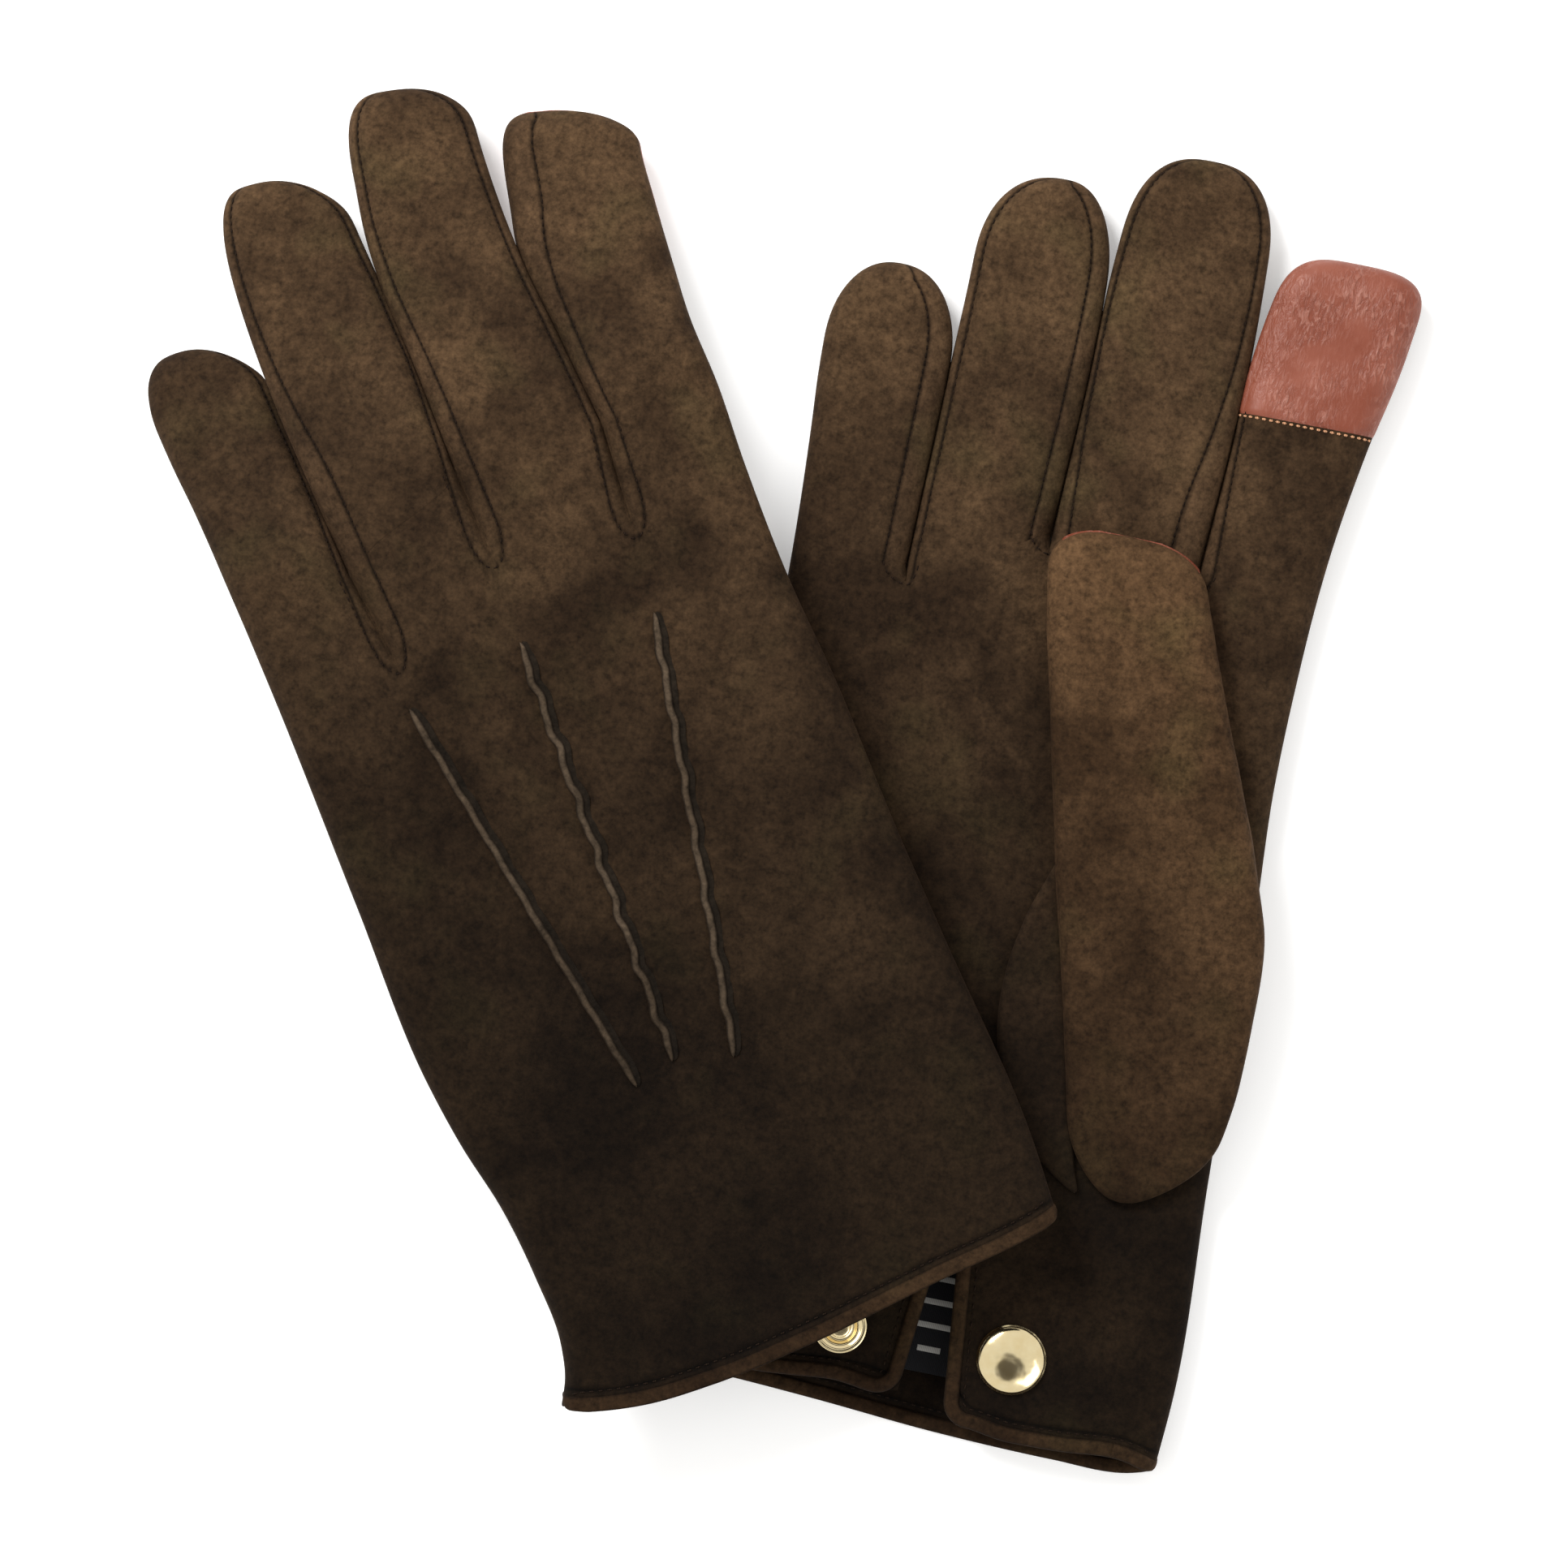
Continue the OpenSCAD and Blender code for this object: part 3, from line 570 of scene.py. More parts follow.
def finger_point(side, i, face, k, per, rim, y, inset=0.0):
    """Where a finger's column k lies at height y, how thick it is there, and how near its seams are."""
    left_edge, right_edge, tip, tip_round, square = outlines[side][i]
    tip = tip - inset
    low, high = left_edge(y) + inset, right_edge(y) - inset
    if i > 0:
        low = low - edge_overlap * ease((y - partings[i - 1][0]) / 6)
    if i < 3:
        high = high + edge_overlap * ease((y - partings[i][0]) / 6)
    part = np.clip((y - tip + tip_round) / tip_round, 0, 1)
    kept = (1 - part**square) ** (1 / square)
    width = (high - low) * kept
    low = low + (high - low) * peaks[side][i] * (1 - kept)
    ins = [np.minimum(s(y), 0.3 * width) for s in seam_ins[side][face][i]]
    d = across(k, per, rim, ins[0], ins[1], width)
    near = np.minimum(np.abs(d - ins[0]) + 9 * (i == 0), np.abs(width - d - ins[1]) + 9 * (i == 3))
    tall = rounding(d, side_round) * rounding(width - d, side_round) * rounding(tip - y, 6.5)
    tall = tall * (half_t - inset) * (1 - 0.14 * ease((y - 175) / 60))
    return low + d, tall, near


def slanted(side, i, x, y):
    """Heights y of points of a finger after its tip is slanted, with a rounded bend at its middle."""
    left_edge, right_edge, tip, _, _ = outlines[side][i]
    left_slant, right_slant = slants[side][i]
    aside = x - (left_edge(y) + right_edge(y)) / 2
    away = np.sqrt(aside ** 2 + 16) - 4
    fall = right_slant * (away + aside) / 2 - left_slant * (away - aside) / 2
    return y - fall * ease((y - tip + 16) / 16)


def finger_tube(side, i, per, rim, rows, inset):
    """A finger's net, wound from the back round to the palm."""
    flat, column, row = net(2 * per, rows)
    face = np.where(column <= per, BACK, PALM)
    k = np.where(column <= per, column, 2 * per - column)
    start = crotch_row(i + k / per)
    tip = outlines[side][i][2] - inset
    turn = row / rows
    near_tip = 0.80 + 0.20 * np.sin((turn - 0.72) / 0.28 * math.pi / 2)
    climb = np.where(turn < 0.72, turn / 0.72 * 0.80, near_tip)
    y = start + (tip - start) * climb
    x, z, near = np.zeros(len(k)), np.zeros(len(k)), np.full(len(k), 9.0)
    for f in (BACK, PALM):
        mine = face == f
        xs, tall, gap = finger_point(side, i, f, k, per, rim, y, inset)
        if inset == 0:
            groove = groove_deep * np.exp(-((gap / groove_wide) ** 2))
            tall = np.maximum(tall - groove * ease((tip - y) / 3), 0)
        x[mine] = xs[mine]
        z[mine] = (middle_z + (tall if f == PALM else -tall))[mine]
        near[mine] = gap[mine]
    lay(flat, x, slanted(side, i, x, y), z, near)
    number_faces(flat, column, row, i + 1)
    return flat


def joined(nets, weld):
    """All nets as one, sewn together where their edges meet."""
    whole = bmesh.new()
    held = bpy.data.meshes.new("held")
    for flat in nets:
        flat.to_mesh(held)
        flat.free()
        whole.from_mesh(held)
    bpy.data.meshes.remove(held)
    bmesh.ops.remove_doubles(whole, verts=whole.verts, dist=weld)
    return whole


def shell(side, per, rim, slit_column, hand_rows, finger_rows, inset):
    """A whole glove without its thumb: three hand sheets and four fingers, sewn together."""
    nets = [
        hand_sheet(side, BACK, 0, 4 * per, per, rim, hand_rows, inset, 0),
        hand_sheet(side, PALM, 0, slit_column, per, rim, hand_rows, inset, -1),
        hand_sheet(side, PALM, slit_column, 4 * per, per, rim, hand_rows, inset, 1),
    ]
    nets += [finger_tube(side, i, per, rim, finger_rows, inset) for i in range(4)]
    whole = joined(nets, 0.02)
    bmesh.ops.recalc_face_normals(whole, faces=whole.faces)
    return whole


def hinge(side, i):
    """A finger's bend: its point, the way the finger points there, and its droop at rest."""
    joint = joints[f"right_{FINGERS[i]}_curl"]
    at = Vector(joint["pos_m"]) / MM
    along = Vector((-joint["axis"][1], joint["axis"][0], 0))
    droop = math.radians(-joints[f"left_{FINGERS[i]}_curl"]["range_deg"][0]) if side == LEFT else 0
    return at, along, droop


def drooped(side, i, points):
    """Points of a finger after it sinks to the table, turned smoothly about its bend."""
    at, along, droop = hinge(side, i)
    if droop == 0:
        return points
    at, along = np.array(at), np.array(along)
    rel = np.array(points, float) - at
    s = rel @ along
    turn = droop * ease((s + 7) / 15)
    rise = rel[:, 2]
    new_s = s * np.cos(turn) - rise * np.sin(turn)
    new_z = s * np.sin(turn) + rise * np.cos(turn)
    up = (0, 0, 1)
    level_part = rel - np.outer(s, along) - np.outer(rise, up)
    return at + level_part + np.outer(new_s, along) + np.outer(new_z, up)


def droop_shell(side, whole):
    """Sinks the fingers of the upper glove, and the part of its hand next to them."""
    part_of = whole.faces.layers.int["part"]
    owner = {}
    for f in whole.faces:
        for v in f.verts:
            owner[v.index] = max(owner.get(v.index, 0), f[part_of])
    points = np.array([v.co for v in whole.verts])
    owners = np.array([owner[n] for n in range(len(points))])
    above = 1 + sum((points[:, 0] > line).astype(int) for _, line in partings)
    owners = np.where(owners == 0, above, owners)
    for i in range(4):
        mine = owners == i + 1
        points[mine] = drooped(side, i, points[mine])
    for v, at in zip(whole.verts, points):
        v.co = at


def soften(side, whole):
    """Gives the leather its slight unevenness, in waves 25, 9 and 4 mm long."""
    whole.normal_update()
    shift = Vector((side * 300, 0, 0))
    for v in whole.verts:
        p = v.co + shift
        push = 0.30 * noise.noise(p / 25) + 0.16 * noise.noise(p / 9) + 0.05 * noise.noise(p / 4)
        v.co = v.co + v.normal * push * min(1, abs(p.z - middle_z) / 2)
        v.co.z = max(v.co.z, on_table)


PER, RIM, SLIT_COLUMN = 36, 7, 83
skins = []
for side in (RIGHT, LEFT):
    skin = shell(side, PER, RIM, SLIT_COLUMN, 170, 110, 0)
    skin.verts.ensure_lookup_table()
    skin.verts.index_update()
    soften(side, skin)
    droop_shell(side, skin)
    skin.normal_update()
    skins.append(skin)
surfaces = [BVHTree.FromBMesh(skin) for skin in skins]

# ---- Cutting the skins into their pieces ----
# The hand, the snap flap, each finger's leather and the strips between the fingers
# are sewn pieces. Where two meet on a bend, both follow the bend.
fold_joint = joints["right_snap_flap_lift"]
fold_at = Vector(fold_joint["pos_m"]) / MM
fold_way = -Vector(fold_joint["axis"])
flap_way = Vector((fold_way.y, -fold_way.x, 0))
if flap_way.y > 0:
    flap_way = -flap_way
fold_reach = 3.0


def on_flap(p):
    """True for a point of the palm sheet on the snap flap or its fold."""
    past_fold = (p - fold_at).dot(flap_way) > -fold_reach
    return past_fold and p.z > middle_z and slit_x < p.x < 49 and p.y < slit_top + 2


def follow(piece, side, part):
    """Makes a piece follow the hand, a finger (1 to 4), the flap, the thumb or the snap's cap."""
    name = SIDES[side]
    place = PLACES[side]
    if part == HAND:
        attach(piece, f"{name}_hand")
    elif part == THUMB:
        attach(piece, f"{name}_thumb")
    elif part == CAP:
        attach(piece, f"{name}_cap_flap_body")
    elif part == FLAP:
        start, end = fold_at - flap_way * fold_reach, fold_at + flap_way * fold_reach
        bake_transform(piece, f"{name}_hand", f"{name}_cap_flap_body", start=place @ start, end=place @ end)
    else:
        at, along, _ = hinge(side, part - 1)
        start, end = at - along * 5, at + along * 8
        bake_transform(piece, f"{name}_hand", f"{name}_{FINGERS[part - 1]}", start=place @ start, end=place @ end)


def finished(name, shape, side, part, finish, replaced=(), normals=None):
    """Turns a glove's bmesh into a placed piece that follows its body."""
    data = bpy.data.meshes.new(name)
    if side == LEFT:
        bmesh.ops.reverse_faces(shape, faces=shape.faces)
    for f in shape.faces:
        f.smooth = True
    shape.to_mesh(data)
    shape.free()
    place = PLACES[side]
    data.transform(place)
    if normals is not None:
        turned = place.to_3x3() * (1 / MM)
        data.normals_split_custom_set_from_vertices([turned @ n for n in normals])
    data.materials.append(finish)
    piece = bpy.data.objects.new(name, data)
    scene.collection.objects.link(piece)
    follow(piece, side, part)
    if replaced:
        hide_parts(*replaced)
    return piece


def cut_out(skin, wanted):
    """A copy of the skin with only the wanted faces, and the whole skin's normals at its points."""
    keep = [wanted(f) for f in skin.faces]
    copy = skin.copy()
    copy.normal_update()
    normals = [v.normal.copy() for v in copy.verts]
    copy.verts.index_update()
    numbered = copy.verts.layers.int.new("number")
    for v in copy.verts:
        v[numbered] = v.index
    bmesh.ops.delete(copy, geom=[f for f, kept in zip(copy.faces, keep) if not kept], context="FACES")
    numbered = copy.verts.layers.int["number"]
    left_over = [normals[v[numbered]] for v in copy.verts]
    copy.verts.layers.int.remove(numbered)
    return copy, left_over


def in_strip(f, i):
    """True for a face of finger i's side that is part of a strip between two fingers."""
    column = f[column_layer]
    k = column if column < PER else 2 * PER - 1 - column
    return (k < RIM and i > 0) or (k >= PER - RIM and i < 3)


# The first row of each index finger that its tan pad covers, and how far the pad stands up.
patch_rows = (49, 52)
patch_lift = 0.3


def tan_leather(name):
    """Smooth tan leather with small wrinkles, their ridges painted pale as highlights."""
    finish, shader, place, add, links = new_material(name)
    tone = add("ShaderNodeTexNoise", {"Scale": 80, "Detail": 3, "Roughness": 0.6}, Vector=place)
    ramp = add("ShaderNodeValToRGB", Fac=tone.outputs["Fac"])
    ramp.color_ramp.elements[0].position = 0.36
    ramp.color_ramp.elements[0].color = rgb(120, 58, 38)
    ramp.color_ramp.elements[1].position = 0.64
    ramp.color_ramp.elements[1].color = rgb(138, 77, 59)
    drawn = add("ShaderNodeMapping", {"Scale": (1.0, 0.38, 1.0), "Rotation": (0, 0, 0.25)}, Vector=place)
    crinkled = {"Scale": 1250, "Detail": 3, "Roughness": 0.55, "Distortion": 0.9}
    wrinkle = add("ShaderNodeTexNoise", crinkled, Vector=drawn.outputs[0])
    where = add("ShaderNodeTexNoise", {"Scale": 120, "Detail": 1}, Vector=place)
    depth = {"From Min": 0.36, "From Max": 0.6, "To Min": 0.1, "To Max": 0.75}
    deep = add("ShaderNodeMapRange", depth, Value=where.outputs["Fac"])
    ridge = add("ShaderNodeMapRange", {"From Min": 0.5, "From Max": 0.68, "To Max": 0.38},
                Value=wrinkle.outputs["Fac"])
    ridge_highlight = add("ShaderNodeMath", {"operation": "MULTIPLY"}, i0=ridge.outputs[0], i1=deep.outputs[0])
    tone_and_painted_light = add("ShaderNodeMix", {"data_type": "RGBA"}, i0=ridge_highlight.outputs[0], i6=ramp.outputs["Color"])
    # Pale colour painted on the wrinkles' ridges as their highlight.
    tone_and_painted_light.inputs[7].default_value = rgb(200, 148, 132)
    links.new(tone_and_painted_light.outputs[2], shader.inputs["Base Color"])
    fold = add("ShaderNodeBump", {"Distance": 0.0008}, Height=wrinkle.outputs["Fac"], Strength=deep.outputs[0])
    links.new(fold.outputs[0], shader.inputs["Normal"])
    shader.inputs["Roughness"].default_value = 0.46
    shader.inputs["Specular IOR Level"].default_value = 0.4
    return finish


tan_finish = tan_leather("tan_leather")

for side, skin in enumerate(skins):
    name = SIDES[side]
    part_layer = skin.faces.layers.int["part"]
    column_layer = skin.faces.layers.int["column"]
    row_layer = skin.faces.layers.int["row"]

    def in_hand(f):
        return f[part_layer] == HAND and not on_flap(f.calc_center_median())

    def in_flap(f):
        return f[part_layer] == HAND and on_flap(f.calc_center_median())

    shape, normals = cut_out(skin, in_hand)
    finished(f"{name}_hand_suede", shape, side, HAND, suede_finish,
             [f"{name}_back_panel", f"{name}_palm_panel", f"{name}_crotch_fourchettes"], normals)
    shape, normals = cut_out(skin, in_flap)
    finished(f"{name}_flap_suede", shape, side, FLAP, suede_finish, [f"{name}_cap_flap"], normals)

    def in_patch(f):
        return f[part_layer] == INDEX and f[column_layer] >= PER and f[row_layer] >= patch_rows[side]

    for i, finger in enumerate(FINGERS):
        def in_stall(f):
            return f[part_layer] == i + 1 and not in_strip(f, i) and not in_patch(f)

        def in_fourchette(f):
            return f[part_layer] == i + 1 and in_strip(f, i) and not in_patch(f)

        shape, normals = cut_out(skin, in_stall)
        finished(f"{name}_{finger}_suede", shape, side, i + 1, suede_finish,
                 [f"{name}_{finger}_stall"], normals)
        strips = "fourchette" if i in (0, 3) else "fourchettes"
        shape, normals = cut_out(skin, in_fourchette)
        finished(f"{name}_{finger}_side_strips", shape, side, i + 1, strip_finish,
                 [f"{name}_{finger}_{strips}"], normals)
    shape, normals = cut_out(skin, in_patch)
    for v in shape.verts:
        v.co = v.co + normals[v.index] * (0 if v.is_boundary else patch_lift)
    finished(f"{name}_index_patch", shape, side, INDEX, tan_finish,
             [f"{name}_index_touch_patch"])

# ---- The lining ----
# A fine black knit, glued in as a sleeve. It stops short of the cuff's edge and of
# the slit, and is seen only in the mouth of each cuff.
knit_black, knit_grey = (0.006, 0.006, 0.007, 1), (0.02, 0.02, 0.022, 1)
knit_finish, _, knit_place, _, add, bump = two_toned(
    "black_knit", "ShaderNodeTexNoise", {"Scale": 400, "Detail": 2}, knit_black, knit_grey, 0.9)
knit_rows = add("ShaderNodeTexWave", {"Scale": 600, "Distortion": 1.0}, Vector=knit_place)
bump(knit_rows, 0.4, 0.0003)
knit_inset = 1.25
for side in (RIGHT, LEFT):
    name = SIDES[side]
    sleeve = shell(side, 14, 2, 32, 60, 40, knit_inset)
    droop_shell(side, sleeve)
    part_layer = sleeve.faces.layers.int["part"]
    for part in range(5):
        def in_sleeve(f):
            return f[part_layer] == part and not (part == HAND and on_flap(f.calc_center_median()))

        shape, normals = cut_out(sleeve, in_sleeve)
        whose = "hand" if part == HAND else FINGERS[part - 1]
        finished(f"{name}_{whose}_knit", shape, side, part, knit_finish,
                 [f"{name}_{whose}_lining"], normals)
    sleeve.free()

# ---- The thumbs ----
# Each thumb is cut as one pouch and set in a round hole in the palm, with a gore
# along its inner side. The right one lies folded over the palm, and the left one
# is pressed flat under its own. The pad under the tip is smooth tan leather.
thumb_left = through(
    (46, 25.5), (53, 23.4), (62, 21.2), (84, 16.1), (104, 10.9), (118, 7.6), (136, 3.2),
    (153.5, -0.7), (164, -2.3), (171.5, -3))
thumb_right = through(
    (46, 42), (57, 48.5), (69, 51.2), (85, 51.9), (103, 50.8), (111, 48.2), (132, 40.4),
    (154, 31.6), (168, 27.0), (171.5, 26.5))
gore_left = through((46, 26), (53, 17.8), (64, 9.4), (76, 5.2), (86, 4.6), (97, 6.2), (106, 8.8), (113, 10.8))
gore_right = through((46, 30), (53, 25), (62, 22.5), (84, 17.5), (104, 12.4), (113, 11))
thumb_base = 9.3
thumb_heel, thumb_toe = (15, 2.1), (9, 2.6)
pad_from = 142
drawn_in = 3.5
knit_gap = 1.8


def pouch(left_edge, right_edge, low, high, heel, toe, thick, base, edge_round, columns, rows):
    """A closed, softly flattened pouch at height base. heel and toe are its ends' (length, squareness)."""
    flat, column, row = net(2 * columns, rows)
    top = column <= columns
    k = np.where(top, column, 2 * columns - column) / columns
    t = (1 - np.cos(row / rows * math.pi)) / 2 * 0.6 + row / rows * 0.4
    y = low + (high - low) * t
    wide = right_edge(y) - left_edge(y)
    start = np.clip(1 - (y - low) / heel[0], 0, 1)
    stop = np.clip(1 - (high - y) / toe[0], 0, 1)
    shrink = (1 - start ** heel[1]) ** (1 / heel[1]) * (1 - stop ** toe[1]) ** (1 / toe[1])
    centre = (right_edge(y) + left_edge(y)) / 2
    spread = 0.55 * (1 - np.cos(k * math.pi)) / 2 + 0.45 * k
    d = spread * wide * shrink
    x = centre - wide * shrink / 2 + d
    full = rounding(d, edge_round) * rounding(wide * shrink - d, edge_round)
    full = full * rounding(y - low, edge_round) * rounding(high - y, edge_round)
    tall = thick(y) / 2
    lay(flat, x, y, base + tall + np.where(top, 1, -1) * tall * full, np.full(len(x), 9.0))
    number_faces(flat, column, row, THUMB)
    whole = joined([flat], 0.01)
    bmesh.ops.recalc_face_normals(whole, faces=whole.faces)
    return whole


def tucked(side, shape):
    """Draws the upper glove's thumb in, so that the palm covers it."""
    if side == LEFT:
        for v in shape.verts:
            v.co.x -= drawn_in * float(ease((v.co.x - 26) / 22))


def knit_left(y):
    return thumb_left(y) + knit_gap


def knit_right(y):
    return thumb_right(y) - knit_gap


for side in (RIGHT, LEFT):
    name = SIDES[side]
    full_t = 7.2 if side == RIGHT else 4.3
    thumb_thick = through(
        (46, 2.2), (60, 0.45 * full_t), (85, 0.8 * full_t), (110, full_t), (150, full_t), (171.5, 0.8 * full_t))
    thumb = pouch(thumb_left, thumb_right, 48.4, 171.3, thumb_heel, thumb_toe, thumb_thick, thumb_base,
                  3.6, 44, 150)
    thumb.normal_update()
    tucked(side, thumb)
    for v in thumb.verts:
        p = v.co + Vector((side * 300, 0, 90))
        push = 0.28 * noise.noise(p / 22) + 0.12 * noise.noise(p / 8)
        v.co = v.co + v.normal * push
        v.co.z = max(v.co.z, thumb_base - 0.05)
    thumb.normal_update()
    part_layer = thumb.faces.layers.int["part"]

    def in_pad(f):
        at = f.calc_center_median()
        return at.y > pad_from and at.z < thumb_base + thumb_thick(np.array([at.y]))[0] * 0.6

    def in_pouch(f):
        return not in_pad(f)

    shape, normals = cut_out(thumb, in_pouch)
    finished(f"{name}_thumb_suede", shape, side, THUMB, thumb_finish,
             [f"{name}_thumb_leather"], normals)
    shape, normals = cut_out(thumb, in_pad)
    for v in shape.verts:
        v.co = v.co + normals[v.index] * (0 if v.is_boundary else 0.25)
        v.co.z = max(v.co.z, thumb_base - 0.2)
    finished(f"{name}_thumb_patch", shape, side, THUMB, tan_finish,
             [f"{name}_thumb_touch_patch"])
    thumb.free()
    knit_thick = level(full_t * 0.25)
    sleeve = pouch(knit_left, knit_right, 50.5, 169, thumb_heel, thumb_toe, knit_thick, 10, 2, 12, 40)
    tucked(side, sleeve)
    finished(f"{name}_thumb_knit", sleeve, side, THUMB, knit_finish, [f"{name}_thumb_lining"])
    gore_thick = through((46, 1.2), (60, 1.8), (80, 2.6), (100, 2.0), (113, 1.0))
    gore = pouch(gore_left, gore_right, 48.6, 113, (9, 2), (12, 1.6), gore_thick, 9.1, 2.2, 20, 60)
    finished(f"{name}_thumb_gore", gore, side, THUMB, strip_finish, [f"{name}_thumb_gusset"])

# ---- The rolled hems ----
# A strip of the same suede, folded over each cuff's edge and up both sides of the
# slit, and stitched down just inside the roll.


def roll(points, ups, half_wide, half_thick, around, taper=0, groove=3.0):
    """A flattened roll along points, whose thickness faces ups. Its sides are painted dark as shade, in a band
    that narrows as groove grows; with groove 0 it is dark all over.
    """
    n = len(points)
    points = np.array(points, float)
    ups = np.array(ups, float)
    flat, column, row = net(around, n - 1)
    at = row.astype(int)
    ahead = np.roll(points, -1, 0) - np.roll(points, 1, 0)
    ahead[0] = points[1] - points[0]
    ahead[-1] = points[-1] - points[-2]
    ahead = ahead / np.linalg.norm(ahead, axis=1)[:, None]
    wide = np.cross(ups, ahead)
    wide = wide / np.linalg.norm(wide, axis=1)[:, None]
    up = np.cross(ahead, wide)
    size = np.ones(n)
    if taper:
        end = np.minimum(np.arange(n), np.arange(n)[::-1]) / taper
        size = np.sqrt(np.clip(end, 0.001, 1) * (2 - np.clip(end, 0.001, 1)))
    angle = column / around * 2 * math.pi
    cos, sin = np.cos(angle), np.sin(angle)
    out = np.sign(cos) * np.abs(cos) ** 0.85 * half_wide * size[at]
    rise = np.sign(sin) * np.abs(sin) ** 0.85 * half_thick * size[at]
    where = points[at] + wide[at] * out[:, None] + up[at] * rise[:, None]
    lay(flat, where[:, 0], where[:, 1], where[:, 2], (1 - np.abs(cos)) * groove)
    whole = joined([flat], 0.005)
    bmesh.ops.holes_fill(whole, edges=[e for e in whole.edges if e.is_boundary], sides=around + 1)
    bmesh.ops.recalc_face_normals(whole, faces=whole.faces)
    return whole


hem_half = 1.4
roll_thick = 0.95
corner_inner = slit_corner - hem_half
corner_ys = {-1: 9.5, 1: 6.2}


def hem_points(side, face, xs):
    """The hem's middle line across one sheet, and the way its thickness faces."""
    y = hem_y(side, xs, face) + hem_half
    tall, _ = hand_height(side, xs, y, face)
    y = y + 0.9 * (1 - tall) ** 2
    sign = 1 if face == PALM else -1
    z = middle_z + sign * tall * half_t
    lean = np.where(xs < 0, -1, 1) * np.sqrt(np.maximum(0, 1 - tall**2))
    ups = np.stack([lean, np.zeros(len(xs)), sign * tall], 1)
    return np.stack([xs - lean * 0.75, y, z], 1), ups


def round_side(side, towards):
    """x values from the side fold inwards, closer together on the fold."""
    y = np.array([hem_half])
    edge = hand_edge(side, 0, y)[0] if towards > 0 else hand_edge(side, 4, y)[0]
    turn = np.linspace(0, math.pi / 2, 9)
    return edge + towards * side_round * (1 - np.cos(turn))


def slit_edge(y, sign):
    return slit_x + sign * slit_half * (1 - y / slit_top)


def slit_path(side, sign, hem_from):
    """The binding's middle line from a point of the palm's hem round the corner and up the slit."""
    corner_y = corner_ys[sign]
    centre = slit_edge(corner_y, sign) + sign * slit_corner
    run = np.linspace(hem_from, centre, max(4, int(abs(hem_from - centre) / 0.9)))[:-1]
    base = hem_y(side, run, PALM) + hem_half
    end_y = corner_y - corner_inner
    base = base + (end_y - base[-1]) * ease(1 - np.abs(run - centre) / 9)
    turn = np.linspace(0, math.pi / 2, 10)
    arc_x = centre - sign * corner_inner * np.sin(turn)
    arc_y = corner_y - corner_inner * np.cos(turn)
    up_y = np.linspace(corner_y, slit_top, 46)[1:]
    up_x = slit_edge(up_y, sign) + sign * hem_half
    xs = np.concatenate([run, arc_x, up_x])
    ys = np.concatenate([base, arc_y, up_y])
    return np.stack([xs, ys, np.full(len(xs), middle_z + half_t)], 1)


fold_x = 41.75
palm_z = middle_z + half_t
turn = np.linspace(0, math.pi / 2, 6)[1:]
apex = np.stack([slit_x + hem_half * np.cos(turn), slit_top + hem_half * np.sin(turn), np.full(5, palm_z)], 1)
far_apex = np.stack([2 * slit_x - apex[:, 0], apex[:, 1], apex[:, 2]], 1)
for side in (RIGHT, LEFT):
    name = SIDES[side]
    flap_path = np.concatenate([slit_path(side, 1, fold_x), apex])
    # Both sides of the binding are painted dark as the shade where it meets the leather.
    binding = roll(flap_path, [(0, 0, 1)] * len(flap_path), hem_half, roll_thick, 14)
    finished(f"{name}_flap_hem", binding, side, FLAP, hem_finish, [f"{name}_cap_flap_binding"])
    low_x, high_x = round_side(side, 1), round_side(side, -1)
    back_line = np.concatenate([low_x, np.linspace(low_x[-1], high_x[-1], 90)[1:-1], high_x[::-1]])
    palm_line = np.linspace(fold_x, high_x[-1], 8)[:-1]
    palm_line = np.concatenate([palm_line, high_x[::-1][:-1]])
    palm_part, palm_ups = hem_points(side, PALM, palm_line)
    back_part, back_ups = hem_points(side, BACK, back_line[::-1])
    near_x = low_x[1:]
    side_part, side_ups = hem_points(side, PALM, near_x)
    stud_path = np.concatenate([slit_path(side, -1, near_x[-1] + 0.9), far_apex])
    path = np.concatenate([palm_part, back_part, side_part, stud_path])
    ups = np.concatenate([palm_ups, back_ups, side_ups, [(0, 0, 1)] * len(stud_path)])
    # As on the flap, the binding's sides are painted dark as shade.
    binding = roll(path, ups, hem_half, roll_thick, 14)
    for v in binding.verts:
        v.co.z = max(v.co.z, on_table)
    finished(f"{name}_hem", binding, side, HAND, hem_finish, [f"{name}_hem_binding"])

